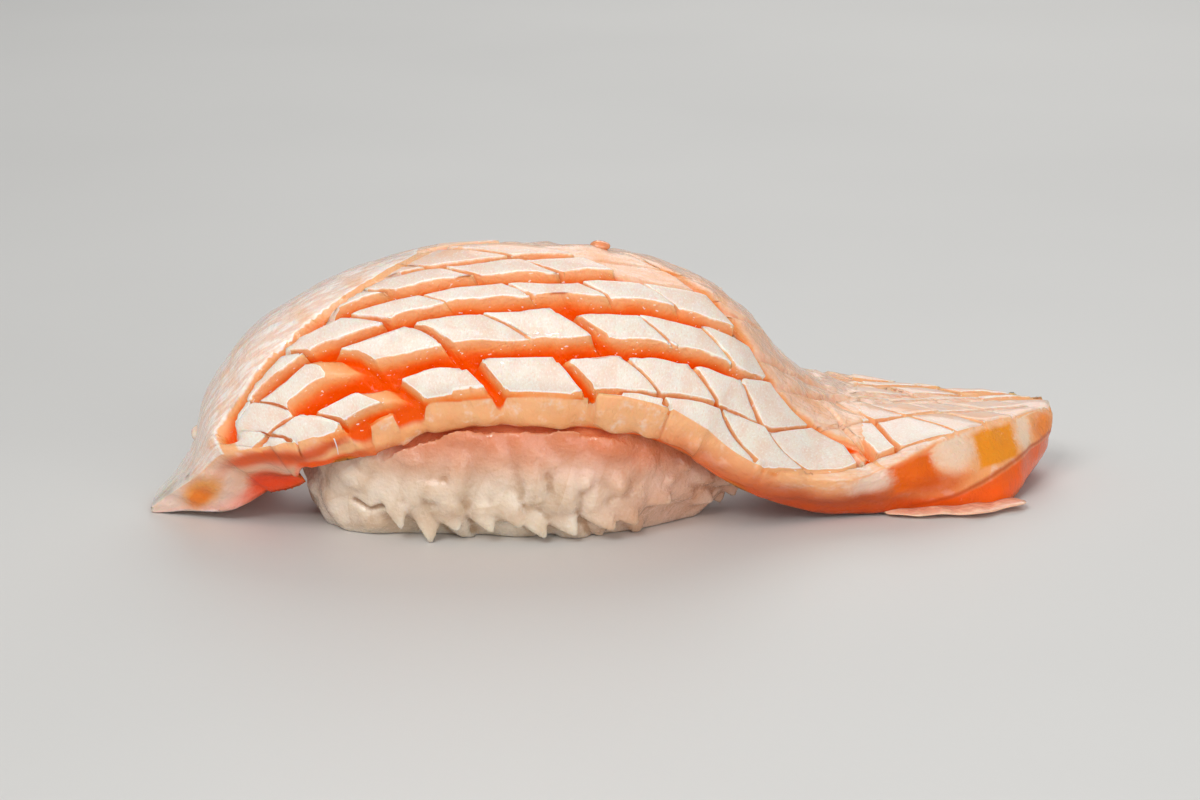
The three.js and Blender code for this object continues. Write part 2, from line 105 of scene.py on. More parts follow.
# Slanting cuts across it: s at four places across, and how far the skin stands back to the left and right.
CROSS_LEVELS = np.array([-1.0, -0.65, -0.3, 1.0])
CROSS_CUTS = np.array([
    [20, 2, -15, -65, 0.3, 0.3], [26, 9.8, -7, -55, 0.35, 0.4], [33.5, 20, 3, -45, 0.3, 0.35],
    [42, 34, 17, -35, 0.4, 0.9], [51.5, 42.8, 28.5, -25, 0.6, 0.7], [62.8, 51.1, 36, -15, 0.3, 0.35],
    [73.3, 59.5, 46, -5, 0.35, 0.4], [88.5, 69.6, 54.8, 5, 0.35, 0.4], [93.4, 82, 62.8, 15, 0.35, 0.4],
    [97.3, 94.4, 75, 25, 0.8, 1.0], [98.7, 96.0, 91.8, 42, 0.6, 0.5], [101.5, 99.0, 96.6, 56, 0.45, 0.55],
    [113, 109, 104.2, 68, 0.4, 0.4], [122, 118, 112, 79, 0.35, 0.35], [131, 127, 121, 90, 0.35, 0.35],
    [140, 136, 130, 101, 0.35, 0.35], [149, 145, 139, 112, 0.35, 0.35],
])
# Cells where a cut gapes or closes: (cut, cell) and the skin's stand-back on its two sides.
LONG_ODD = {
    (2, 3): (0.3, 0.8), (2, 5): (0.2, 0.25),
    (3, 0): (0.2, 0.2), (3, 1): (0.2, 0.25), (3, 2): (0.25, 0.25), (3, 3): (1.0, 1.9), (3, 4): (1.0, 1.5),
    (3, 5): (0.45, 1.5), (3, 6): (0.5, 1.6), (3, 7): (0.8, 1.25), (3, 8): (1.0, 0.9), (3, 9): (0.5, 0.3),
    (4, 1): (0.02, 0.02), (4, 2): (0.02, 0.02), (4, 3): (0.85, 0.5), (4, 4): (0.8, 0.6), (4, 6): (0.5, 1.4),
    (4, 7): (0.9, 1.5), (4, 8): (0.85, 1.3),
}
CROSS_ODD = {
    (7, 2): (0.35, 0.35), (8, 2): (0.3, 0.5),
    (2, 3): (0.85, 0.6), (3, 3): (5.2, 0.6), (4, 3): (1.3, 1.0), (5, 3): (0.9, 1.2), (6, 3): (0.4, 0.45),
    (7, 3): (1.0, 1.0), (8, 3): (0.5, 0.6),
    (3, 4): (4.0, 0.7), (4, 4): (0.7, 0.8), (5, 4): (0.14, 0.16), (6, 4): (1.1, 1.6), (7, 4): (0.2, 0.22),
    (8, 4): (0.2, 0.2),
}
MOST_INSET = 0.42  # largest share of a cell that one stand-back may take
LEAST_CELL_S, LEAST_CELL_T = 0.4, 0.03

# Where the skin is gone: a strip over the shoulder and a band along the near edge.
BARE_FIRST, BARE_LAST = 9, 10  # the strip lies between these cross cuts
BARE_ROW = 6  # from this row on it starts one cell further left
NEAR_ROWS = 1  # rows up to this one make the near band
BARE_DEPTH = 0.6
SHOULDER_TO = 95.5  # the strip ends at this s
SHOULDER_EASE = 89.0, 95.0  # and rises to the skin between these
BARE_TO, FAR_BARE_FROM = 0.35, 76.0  # beyond this t it starts at that s

# The unscored left end: its edge runs from one s to another between two values of t, and turns back
# on the far side.
MARGIN_LEFT, MARGIN_RIGHT = 14.0, 42.0
MARGIN_LOW, MARGIN_HIGH = -0.78, 0.0
MARGIN_BACK, MARGIN_FAR = 20.0, (0.3, 1.0)
MARGIN_FADE = 4.0  # the cuts fade in over this length
CHANNEL_MIDDLE, CHANNEL_HALF, CHANNEL_DEPTH = 1.6, 1.6, 1.9
CALM_RIM = 0.9  # how much shallower the cuts run near the edge of foot and tail
CALM_TAIL, CALM_FOOT = (84.0, 92.0), (22.0, 16.0)  # between which s that starts
CALM_BAND = 0.26, 0.04  # and how far in from the edge, in t

# Where the near and the far edge end, and between them the tail's end as s and t, at the skin and
# at the underside.
NEAR_END, FAR_END = 92.0, 116.4
END_AT_SKIN = np.array([
    [92, -1], [95, -0.99], [99.2, -0.88], [106, -0.42], [112, 0.0], [117, 0.4], [117.6, 0.75], [116.4, 1],
]) * [1, FLAT_HALF]
END_AT_UNDERSIDE = np.array([
    [92, -1], [95.5, -1], [101.5, -1], [108, -0.93], [113, -0.55], [116.6, 0.3], [117, 0.7], [116.4, 1],
]) * [1, FLAT_HALF]
UNDERSIDE_DEPTH = 7.4
# How far the cut side stands out at each depth below the skin.
SIDE_PROFILE = np.array([
    [-4, -0.5], [0, -0.5], [0.9, 0.05], [2.6, 0.45], [4.4, 0.1], [6.4, -0.8], [12, -1.4],
])

# ---------------------------------------------------------------- small shape helpers


def smooth(value, low, high):
    u = np.clip((value - low) / (high - low), 0.0, 1.0)
    return u * u * (3 - 2 * u)


def waves(points, length, seed, count=7):
    """Soft seeded relief between about -1 and 1, as crossing waves of about that length."""
    rng = np.random.default_rng(seed)
    points = np.asarray(points, float)
    total = np.zeros(points.shape[0])
    for _ in range(count):
        way = rng.normal(size=points.shape[1])
        way *= 2 * math.pi / (length * rng.uniform(0.7, 1.5)) / np.linalg.norm(way)
        total += np.sin(points @ way + rng.uniform(0, 2 * math.pi))
    return total / math.sqrt(count * 2)


def wobble(place, length, seed):
    """The same relief along one direction."""
    return waves(np.ravel(place)[:, None], length, seed, 4).reshape(np.shape(place))


def section_at(s):
    """Section values at s, and the crown's direction there, by cubic interpolation."""
    s = np.clip(np.asarray(s, float), 0.0, LENGTH)
    k = np.clip(np.searchsorted(SECTION_S, s, side="right") - 1, 0, len(SECTIONS) - 2)
    step = (SECTION_S[k + 1] - SECTION_S[k])[..., None]
    u = (s - SECTION_S[k])[..., None] / step
    a, b = SECTIONS[k], SECTIONS[k + 1]
    m, n = SECTION_SLOPE[k] * step, SECTION_SLOPE[k + 1] * step
    value = (a * (2 * u**3 - 3 * u**2 + 1) + m * (u**3 - 2 * u**2 + u)
             + b * (3 * u**2 - 2 * u**3) + n * (u**3 - u**2))
    rate = (a - b) * (6 * u**2 - 6 * u) + m * (3 * u**2 - 4 * u + 1) + n * (3 * u**2 - 2 * u)
    return value, rate[..., :2] / step


def bend(s, t, w):
    """Place of the point at depth w below the skin, in the slice's own millimetres."""
    value, direction = section_at(s)
    pitch = np.arctan2(direction[..., 1], direction[..., 0]) * PITCH_EASE
    half = np.where(t < 0, value[..., 3], value[..., 4])
    full_drop = np.where(t < 0, value[..., 5], value[..., 6])
    turn = t * WRAP
    drop = full_drop * (1 - np.cos(turn)) / (1 - math.cos(WRAP))
    fall = full_drop * np.sin(turn) / (1 - math.cos(WRAP))
    spread = half * np.cos(turn) / math.sin(WRAP)
    lean = 0.5 * np.arctan2(fall, spread + 1e-6)
    inward = drop + w * np.cos(lean)
    return np.stack([
        value[..., 0] + np.sin(pitch) * inward,
        value[..., 2] + half * np.sin(turn) / math.sin(WRAP) - np.sin(lean) * w,
        value[..., 1] - np.cos(pitch) * inward,
    ], axis=-1)


def thickness(s, t):
    value, _ = section_at(s)
    return value[..., 7] + (value[..., 8] - value[..., 7]) * np.clip(-t, 0, 1) ** 2


# ---------------------------------------------------------------- the cuts


def inset_table(cuts, cells, odd):
    """Stand-back of the skin for each cut and cell, on both sides, in mm."""
    table = np.repeat(cuts[:, None, -2:], cells, axis=1)
    for (cut, cell), sides in odd.items():
        table[cut, cell] = sides
    return table


LONG_INSET = inset_table(LONG_CUTS, len(CROSS_CUTS) + 1, LONG_ODD)
CROSS_INSET = inset_table(CROSS_CUTS, len(LONG_CUTS) + 1, CROSS_ODD)
SIDES = ((0, -1), (1, 1))  # the two sides of a cut: its place in the table, and its direction


def plateau(values, cell):
    """A value that belongs to each cell, eased from one cell to the next."""
    k = np.clip(np.floor(cell - 0.5).astype(int), 0, len(values) - 2)
    part = smooth(cell - 0.5 - k, 0.34, 0.66)
    return values[k] * (1 - part) + values[k + 1] * part


def skin_scale(s):
    """Millimetres of skin for each unit of t."""
    value, _ = section_at(s)
    wide = value[..., 3] / math.sin(WRAP)
    tall = value[..., 5] / (1 - math.cos(WRAP))
    return WRAP * np.sqrt((wide**2 + tall**2) / 2)


def long_cut(k, s):
    """t of long cut k at s."""
    t, start = LONG_CUTS[k, :2]
    run = np.maximum(s - start, 0)
    climb = CLIMB * np.minimum(run, CLIMB_RUN) ** 2 + TURN * np.maximum(run - CLIMB_RUN, 0)
    droop = FOOT_DROOP * np.maximum(FOOT_S - s, 0) ** 2 * min(max(-t / DROOP_FULL, 0), 1)
    return t + climb - np.minimum(droop, DROOP_MOST) + LONG_WAVER * wobble(s, 12.0, 100 + k)


def cross_cut(k, t):
    """s of cross cut k at t."""
    return np.interp(t, CROSS_LEVELS, CROSS_CUTS[k, :4]) + CROSS_WAVER * wobble(t, 0.4, 200 + k)


def long_inset(k, side, s, column):
    return plateau(LONG_INSET[k, :, side], column) * (1 + 0.14 * wobble(s, 7.0, 300 + 2 * k + side))


def cross_inset(k, side, t, row):
    return plateau(CROSS_INSET[k, :, side], row) * (1 + 0.16 * wobble(t, 0.2, 400 + 2 * k + side))


def border(s, t):
    """Distance along s beyond the edge of the unscored left end."""
    out = MARGIN_LEFT + (MARGIN_RIGHT - MARGIN_LEFT) * smooth(t, MARGIN_LOW, MARGIN_HIGH)
    return s - out + MARGIN_BACK * smooth(t, *MARGIN_FAR)


def scored(s, t):
    """0 on the unscored end, 1 where the cuts have their full depth."""
    return smooth(border(s, t), 0.0, MARGIN_FADE)


def channel(s, t):
    """Depth of the shallow channel that follows the unscored end."""
    reach = smooth(t, -0.92, -0.8) * smooth(t, -0.1, -0.55)
    return groove(np.abs(border(s, t) - CHANNEL_MIDDLE), CHANNEL_HALF, CHANNEL_DEPTH) * reach


CUT_DEPTH = 2.7
OPEN_FULL = 0.8
CROSS_SHARE = 0.85  # depth of a cross cut beside a long one
CUT_WIDEST, SHELF_DEPTH = 1.7, 0.95  # where the skin is torn back further, the flesh is a shallow shelf
SKIN_STEP = 0.2  # the skin's edge stands this far above the flesh beside it
CUT_REACH = 9.0  # no cut is felt beyond this distance
SLANT = 0.7  # true distance from a slanting cut, as a share of that along s
BARE_EDGE = -1.5  # the edge value where there is no skin
DEEPEST_SHARE = 0.6  # no cut goes deeper than this share of the slice


def groove(distance, opening, full):
    """Depth of a cut at a distance from its middle: steep walls below the skin, easing into the bottom."""
    x = np.clip(distance / opening, 0, 1)
    return full * (1 - x**1.7) ** 0.8


def bracket(values, index, lowest, highest):
    """The line below and the line above each point, from a list of lines and the point's cell number."""
    stack = np.stack(values)
    last = len(values) - 1
    each = np.arange(stack.shape[1])
    below = np.where(index > 0, stack[np.clip(index - 1, 0, last), each], lowest)
    above = np.where(index <= last, stack[np.clip(index, 0, last), each], highest)
    return below, above


def calmer(s, t):
    """How much shallower the cuts run on the far side, over the crest and on the tail."""
    far = 0.45 * smooth(t, 0.0, 0.5)
    crest = 0.75 * smooth(t, -0.1, 0.12) * smooth(t, 0.8, 0.5)
    tail = 0.85 * smooth(s, 92.0, 97.0) * smooth(t, -0.55, 0.0)
    return np.maximum(far, np.maximum(crest, tail))


def stripped(cuts, s, t, beyond):
    """Depth, edge and film of the cuts, with the skin gone where it is bare.

    Beyond is the distance past the start of the shoulder's strip. Film is 1 where a pale film covers
    the flesh, and falls below 0 where a gash lays it open.
    """
    column, row, depth = cuts["column"], cuts["row"], cuts["depth"]
    shoulder = (column > BARE_FIRST) & ((column <= BARE_LAST) | (s < SHOULDER_TO))
    shoulder = shoulder | ((column == BARE_FIRST) & (row >= BARE_ROW))
    shoulder = shoulder & ((t < BARE_TO) | (s > FAR_BARE_FROM))
    near_band = row <= NEAR_ROWS
    bare = shoulder | near_band
    gash = smooth(beyond, 0.1, 0.8) * smooth(beyond, 4.6, 2.2)
    gash = gash * smooth(t, -0.97, -0.85) * smooth(t, 0.0, -0.2)
    gash = gash * shoulder * (0.45 + 0.55 * smooth(depth, 0.2, 0.9))
    kept = np.where(near_band, 0.4 * smooth(s, 28.0, 36.0), 0.4 + 0.6 * gash)
    plain = BARE_DEPTH * (1 - shoulder * smooth(s, *SHOULDER_EASE))
    depth = np.where(bare, np.maximum(depth * kept, plain + 0.9 * gash), depth)
    film = np.maximum(0.45 * shoulder * smooth(gash, 0.3, 0.0), 0.8 * near_band * smooth(s, 90.0, 96.0))
    film = np.maximum(film, 0.62 * smooth(t, -0.1, 0.1) * smooth(t, 0.75, 0.45)) - gash
    return depth, np.where(bare, BARE_EDGE, cuts["edge"]), film


def score(s, t):
    """Everything the cuts do at (s, t): depth, distance inside the skin's edge, and place in the lattice."""
    places = [cross_cut(k, t) for k in range(len(CROSS_CUTS))]
    levels = [long_cut(k, s) for k in range(len(LONG_CUTS))]
    column = sum((s > place).astype(int) for place in places)
    row = sum((t > level).astype(int) for level in levels)
    left, right = bracket(places, column, s - 6, s + 6)
    low, high = bracket(levels, row, t - 0.2, t + 0.2)
    cell_s = np.maximum(right - left, LEAST_CELL_S)
    cell_t = np.maximum(high - low, LEAST_CELL_T)
    u = np.clip((s - left) / cell_s, 0, 1)
    v = np.clip((t - low) / cell_t, 0, 1)
    scale = skin_scale(s)
    across = np.zeros_like(s)
    lengthwise = np.zeros_like(s)
    edge = np.full_like(s, CUT_REACH)
    for k, place in enumerate(places):
        for side, way in SIDES:
            offset = (s - place) * way
            inset = np.minimum(cross_inset(k, side, t, row + v), MOST_INSET * cell_s)
            full = CUT_DEPTH * CROSS_SHARE * np.minimum(inset / OPEN_FULL, 1.0)
            here = (offset >= 0) & (np.abs(offset) < CUT_REACH)
            cut = groove(offset, np.minimum(inset, CUT_WIDEST), full)
            shelf = groove(offset, inset, SHELF_DEPTH * smooth(inset, CUT_WIDEST, CUT_WIDEST + 1))
            across = np.where(here, np.maximum(across, np.maximum(cut, shelf)), across)
            edge = np.where(here, np.minimum(edge, (offset - inset) * SLANT), edge)
    for k, level in enumerate(levels):
        for side, way in SIDES:
            offset = (t - level) * way * scale
            inset = np.minimum(long_inset(k, side, s, column + u), MOST_INSET * cell_t * scale)
            full = CUT_DEPTH * np.minimum(0.1 + inset / OPEN_FULL, 1.0)
            here = (offset >= 0) & (np.abs(offset) < CUT_REACH)
            lengthwise = np.where(here, np.maximum(lengthwise, groove(offset, inset, full)), lengthwise)
            edge = np.where(here, np.minimum(edge, offset - inset), edge)
    depth = (across**3 + lengthwise**3) ** (1 / 3) * (1 - calmer(s, t))
    cuts = {"depth": depth, "edge": edge, "column": column, "row": row, "u": u, "v": v}
    depth, cuts["edge"], cuts["film"] = stripped(cuts, s, t, s - places[BARE_FIRST])
    rim = np.interp(s, END_AT_SKIN[:6, 0], END_AT_SKIN[:6, 1] / FLAT_HALF)
    ends = np.maximum(smooth(s, *CALM_TAIL), smooth(s, *CALM_FOOT))
    cuts["depth"] = depth * (1 - CALM_RIM * ends * smooth(t - rim, *CALM_BAND))
    return cuts


def facet_lift(cuts, sizes):
    """Each facet's own tilt, height and slight dome, in mm above the plain skin."""
    u, v = 2 * cuts["u"] - 1, 2 * cuts["v"] - 1
    rng = np.random.default_rng(11)
    table = rng.uniform(-1, 1, (len(CROSS_CUTS) + 2, len(LONG_CUTS) + 2, 3))
    own = table[cuts["column"], cuts["row"]]
    tilt = own[:, 0] * u + own[:, 1] * v + 0.6 * own[:, 2]
    dome = (1 - u**2) * (1 - v**2)
    return sizes.facet_tilt / MM * tilt + sizes.facet_dome / MM * dome


# ---------------------------------------------------------------- the slice's mesh


END_POINTS, TIP_POINTS = 190, 56  # mesh points round the tail's end, and over the left tip


def outline(count_along):
    """The trimmed outline, flat, at skin and at underside depth, with the same number of points."""
    skin_end = spline(END_AT_SKIN, END_POINTS)
    under_end = spline(END_AT_UNDERSIDE, END_POINTS)
    steps = np.arange(count_along) / count_along
    near = np.stack([NEAR_END * steps, -FLAT_HALF + 0 * steps], axis=1)
    far = np.stack([FAR_END * (1 - (steps + 1 / count_along)), FLAT_HALF + 0 * steps], axis=1)
    tip = np.linspace(1, -1, TIP_POINTS)[1:-1]
    left = np.stack([0 * tip, tip * FLAT_HALF], axis=1)
    skin = np.concatenate([near, skin_end, far, left])
    under = np.concatenate([near, under_end, far, left])
    return skin, under


def spline(points, count):
    """Evenly numbered points on a smooth curve through the given ones."""
    padded = np.concatenate([2 * points[:1] - points[1:2], points, 2 * points[-1:] - points[-2:-1]])
    place = np.linspace(0, len(points) - 1, count)
    k = np.minimum(place.astype(int), len(points) - 2)
    u = (place - k)[:, None]
    a, b, c, d = padded[k], padded[k + 1], padded[k + 2], padded[k + 3]
    return 0.5 * (2 * b + (c - a) * u + (2 * a - 5 * b + 4 * c - d) * u**2 + (3 * b - a - 3 * c + d) * u**3)


def outward(loop):
    """Outward direction at each point of a flat loop."""
    run = np.roll(loop, -1, axis=0) - np.roll(loop, 1, axis=0)
    normal = np.stack([run[:, 1], -run[:, 0]], axis=1)
    return normal / np.linalg.norm(normal, axis=1)[:, None]


def inside(points, loop, margin, batch=4000):
    """Which points lie inside a closed loop, at least a margin from it."""
    a, b = loop, np.roll(loop, -1, axis=0)
    keep = np.zeros(len(points), bool)
    for start in range(0, len(points), batch):
        p = points[start:start + batch]
        x, y = p[:, 0:1], p[:, 1:2]
        spans = (a[:, 1] > y) != (b[:, 1] > y)
        with np.errstate(divide="ignore", invalid="ignore"):
            crossing = a[:, 0] + (y - a[:, 1]) * (b[:, 0] - a[:, 0]) / (b[:, 1] - a[:, 1])
        odd = (spans & (x < crossing)).sum(axis=1) % 2 == 1
        near = ((x - a[:, 0]) ** 2 + (y - a[:, 1]) ** 2).min(axis=1) < margin**2
        keep[start:start + batch] = odd & ~near
    return keep


WALL_PARTS = (0.35, 0.65, 0.86, 0.96, 1.0)
LIP = 0.035  # share of a facet beside its edge that keeps the edge crisp
WALL_CELL = 0.02  # how much of a cell's number is spent on the cut's own walls
SETTLE_ROUNDS, SETTLE_SHARE = 22, 0.38  # steps in which the two families find their crossings


def line_specs(count, inner):
    """Lines of one family: (cut, share of its stand-back, share of the skin beyond, cell)."""
    specs = []
    shares = [LIP, *(np.arange(1, inner) / inner), 1 - LIP]
    for k in range(count):
        if k > 0:
            specs += [(k, -part, 0.0, k + 1 - WALL_CELL * part) for part in WALL_PARTS[::-1]]
        specs.append((k, 0.0, 0.0, k + 1.0))
        if k < count - 1:
            specs += [(k, part, 0.0, k + 1 + WALL_CELL * part) for part in WALL_PARTS]
            specs += [(k, 1.0, share, k + 1 + share) for share in shares]
    return specs


def line_place(spec, cut, inset, count, place, cell):
    """Where one line of a family lies, at the given places and cells along it."""
    k, part, beyond, _cell = spec

    def edge_of(j, side):
        other = j + (1 if side else -1)
        stand = inset(j, side, place, cell)
        if 0 <= other < count:
            stand = np.minimum(stand, MOST_INSET * np.abs(cut(other, place) - cut(j, place)))
        return stand

    middle = cut(k, place)
    if beyond:
        near = middle + edge_of(k, 1)
        far = cut(k + 1, place) - edge_of(k + 1, 0)
        return near + (far - near) * beyond
    if part == 0:
        return middle
    return middle + part * edge_of(k, 1 if part > 0 else 0)


def lattice(sizes):
    """Grid points where the two families of lines meet, flat."""
    cross = line_specs(len(CROSS_CUTS), sizes.facet_steps_along)
    long = line_specs(len(LONG_CUTS), sizes.facet_steps_across)
    columns = np.array([spec[3] for spec in cross])
    rows = np.array([spec[3] for spec in long])

    def thin_inset(k, side, s, column):
        return long_inset(k, side, s, column) / skin_scale(s)

    t = np.full((len(cross), len(long)), -0.5)
    s = np.zeros_like(t)
    for _ in range(SETTLE_ROUNDS):
        for i, spec in enumerate(cross):
            s[i] = line_place(spec, cross_cut, cross_inset, len(CROSS_CUTS), t[i], rows)
        for j, spec in enumerate(long):
            level = line_place(spec, long_cut, thin_inset, len(LONG_CUTS), s[:, j], columns)
            t[:, j] = (1 - SETTLE_SHARE) * t[:, j] + SETTLE_SHARE * np.clip(level, -1.6, 1.8)
    return s, t


def triangulate(loop, points, edges):
    """Triangles that fill a loop and use every given point and edge."""
    coords = [Vector(p) for p in np.concatenate([loop, points])]
    face = [list(range(len(loop)))]
    verts, _edges, faces, origin, _a, _b = delaunay_2d_cdt(coords, edges, face, 1, 1e-4)
    place = np.array([tuple(v) for v in verts])
    rim = np.full(len(loop), -1)
    for index, sources in enumerate(origin):
        for source in sources:
            if source < len(loop):
                rim[source] = index
    return place, np.array(faces), rim


RIM_GAP = 0.22  # least distance of a lattice point from the outline
UNDER_GRID, UNDER_GAP = (1.1, 1.0), 0.7  # mesh steps on the underside, and their distance from its outline


def slice_top(loop, sizes):
    """The flat triangles of the scored top, with edges along every cut."""
    s, t = lattice(sizes)
    flat = np.stack([s, t * FLAT_HALF], axis=-1)
    keep = inside(flat.reshape(-1, 2), loop, RIM_GAP).reshape(s.shape)
    number = np.full(s.shape, -1)
    number[keep] = np.arange(keep.sum()) + len(loop)
    grid = np.full((*s.shape, 2), 1e6)
    grid[keep] = flat[keep]
    runs = [(number[:-1], number[1:]), (number[:, :-1], number[:, 1:])]
    rise = np.linalg.norm(grid[1:, 1:] - grid[:-1, :-1], axis=-1)
    fall = np.linalg.norm(grid[1:, :-1] - grid[:-1, 1:], axis=-1)
    whole = (number[:-1, :-1] >= 0) & (number[1:, 1:] >= 0) & (number[1:, :-1] >= 0) & (number[:-1, 1:] >= 0)
    first = np.where(rise < fall, number[:-1, :-1], number[:-1, 1:])
    second = np.where(rise < fall, number[1:, 1:], number[1:, :-1])
    runs.append((np.where(whole, first, -1), second))
    edges = []
    for start, end in runs:
        good = (start >= 0) & (end >= 0)
        edges += np.stack([start[good], end[good]], axis=1).tolist()
    return triangulate(loop, flat[keep], edges)


def slice_mesh(sizes):
    """Vertices, triangles and per-point values of the whole slice, in its own millimetres."""
    skin, under = outline(sizes.edge_points)
    normal = outward(skin)
    count = len(skin)

    def rim_at(depth):
        part = np.clip(depth / UNDERSIDE_DEPTH, 0, 1)[:, None]
        return skin * (1 - part) + under * part

    top_loop = skin + normal * SIDE_PROFILE[1, 1]
    top_flat, top_faces, top_rim = slice_top(top_loop, sizes)
    s, t = top_flat[:, 0], top_flat[:, 1] / FLAT_HALF
    cuts = score(s, t)
    mark = scored(s, t)
    room = thickness(s, t) * DEEPEST_SHARE
    depth = np.minimum(np.maximum(cuts["depth"] * mark, channel(s, t)), room)
    calm = 1 - smooth(cuts["depth"], 0.0, 1.2)
    lift = facet_lift(cuts, sizes) * mark * calm
    step = SKIN_STEP * smooth(-cuts["edge"], -0.02, 0.05) * mark
    edge = np.where(mark > 0.02, cuts["edge"] + (1 - mark) * 6.0, 6.0)
    top = {"s": s, "t": t, "w": np.maximum(depth, step) - lift, "edge": edge, "round": s, "side": 0 * s,
           "film": cuts["film"]}

    rim_s, rim_t = top_loop[:, 0], top_loop[:, 1] / FLAT_HALF
    run = np.linalg.norm(np.diff(skin, axis=0), axis=1)
    rim_round = np.concatenate([[0.0], np.cumsum(run)])
    rim_cut = top["w"][top_rim]
    rim_cuts = score(np.clip(rim_s, 0, LENGTH), rim_t)
    lobed = smooth(rim_round, 28.0, 38.0) * smooth(rim_round, 92.0, 84.0)
    notch = smooth(rim_cuts["depth"] * scored(rim_s, rim_t), 0.1, 1.6) * lobed
    along = 2 * rim_cuts["u"] - 1
    pillow = (1 - np.abs(along) ** 3) * lobed
    rings = sizes.wall_rings
    walls = []
    for ring in range(1, rings + 1):
        part = ring / rings
        bottom = thickness(np.clip(rim_s, 0, LENGTH), rim_t)
        w = rim_cut + (bottom - rim_cut) * part
        stand = np.interp(w, SIDE_PROFILE[:, 0], SIDE_PROFILE[:, 1])
        stand = stand + sizes.pillow / MM * pillow * math.sin(math.pi * min(part * 1.15, 1.0))
        stand = stand - 0.8 * notch * (1 - smooth(w, 1.0, 3.8))
        ripple = waves(np.stack([rim_s, w], axis=1), 5.0, 31) * 0.16 * math.sin(math.pi * part)
        place = rim_at(w) + normal * (stand + ripple)[:, None]
        walls.append({"s": place[:, 0], "t": place[:, 1] / FLAT_HALF, "w": w, "edge": np.full(count, -3.0),
                      "round": rim_round, "side": np.full(count, 1.0), "film": np.zeros(count)})

    bottom_loop = np.stack([walls[-1]["s"], walls[-1]["t"] * FLAT_HALF], axis=1)
    along, across = np.arange(0.6, LENGTH, UNDER_GRID[0]), np.arange(-14.4, 14.8, UNDER_GRID[1])
    grid = np.stack(np.meshgrid(along, across, indexing="ij"), axis=-1).reshape(-1, 2)
    grid = grid[inside(grid, bottom_loop, UNDER_GAP)]
    low_flat, low_faces, low_rim = triangulate(bottom_loop, grid, [])
    s, t = low_flat[:, 0], low_flat[:, 1] / FLAT_HALF
    w = thickness(s, t)
    low = {"s": s, "t": t, "w": w, "edge": np.full(len(s), -3.0), "round": s, "side": np.full(len(s), 2.0),
           "film": 0 * s}
    low["w"][low_rim] = walls[-1]["w"]

    parts = [top, *walls[:-1], low]
    values = {key: np.concatenate([part[key] for part in parts]) for key in top}
    faces = [top_faces]
    rows = [top_rim] + [len(top_flat) + count * k + np.arange(count) for k in range(rings - 1)]
    low_start = len(top_flat) + count * (rings - 1)
    rows.append(low_start + low_rim)
    for upper, lower in zip(rows[:-1], rows[1:]):
        a, b = upper, np.roll(upper, -1)
        c, d = lower, np.roll(lower, -1)
        faces += [np.stack([a, c, d], axis=1), np.stack([a, d, b], axis=1)]
    faces.append(low_faces[:, ::-1] + low_start)
    return values, np.concatenate(faces)


def vertex_normals(points, faces):
    """Outward direction at each point of a mesh."""
    a, b, c = (points[faces[:, k]] for k in range(3))
    face_normal = np.cross(b - a, c - a)
    total = np.zeros_like(points)
    for k in range(3):
        np.add.at(total, faces[:, k], face_normal)
    return total / np.maximum(np.linalg.norm(total, axis=1), 1e-12)[:, None]


def linked_object(name, points, faces):
    """An object in the scene from points and triangles."""
    mesh = bpy.data.meshes.new(name)
    mesh.from_pydata(points.tolist(), [], faces.tolist())
    mesh.update()
    piece = bpy.data.objects.new(name, mesh)
    bpy.context.scene.collection.objects.link(piece)
    return piece


def mesh_object(name, points, faces, values=None):
    """A smooth-shaded object from points in the slice's own millimetres."""
    piece = linked_object(name, (points - ORIGIN) * MM, faces)
    piece.data.shade_smooth()
    for key, value in (values or {}).items():
        kind, slot = ("FLOAT_VECTOR", "vector") if np.ndim(value) == 2 else ("FLOAT", "value")
        attribute = piece.data.attributes.new(key, kind, "POINT")
        attribute.data.foreach_set(slot, np.ravel(value).astype(np.float32))
    return piece


def declare(piece, slot, *nodes):
    """Says which body carries a piece and which solids it stands for; the slot argument is not used."""
    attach(piece, ROOT)
    if nodes:
        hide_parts(*nodes)


# ---------------------------------------------------------------- small pieces on the slice

MEMBRANE_FROM, MEMBRANE_TO = 97.0, 117.5  # along the slice's lower edge
MEMBRANE_REACH, MEMBRANE_THICK = 1.7, 0.55
THREAD_S, THREAD_TOP, THREAD_BOTTOM, THREAD_HALF = 29.4, 0.3, 1.7, 0.07
# Scraps of flesh: s, t, height above the skin, then the half sizes along, across and up.
CRUMBS = {
    "crest_crumb": (np.interp(0.0, SECTIONS[:, 0], SECTION_S), 0.08, -0.5, 1.1, 0.8, 0.6),
    "foot_crumb": (9.8, -0.08, -0.3, 0.9, 1.2, 0.8),
}


def sweep(middle, across, rise, half_width, half_height, sides=12):
    """A closed rounded band along a path, tapering to its ends."""
    turn = 2 * math.pi * np.arange(sides) / sides
    rings = (middle[:, None] + across[:, None] * (half_width[:, None] * np.cos(turn))[..., None]
             + rise[:, None] * (half_height[:, None] * np.sin(turn))[..., None])
    count = len(middle)
    points = np.concatenate([rings.reshape(-1, 3), middle[:1], middle[-1:]])
    faces = []
    for k in range(sides):
        n = (k + 1) % sides
        end = (count - 1) * sides
        faces += [[count * sides, n, k], [count * sides + 1, end + k, end + n]]
        for i in range(count - 1):
            a, b = i * sides, (i + 1) * sides
            faces += [[a + k, a + n, b + n], [a + k, b + n, b + k]]
    return points, np.array(faces)


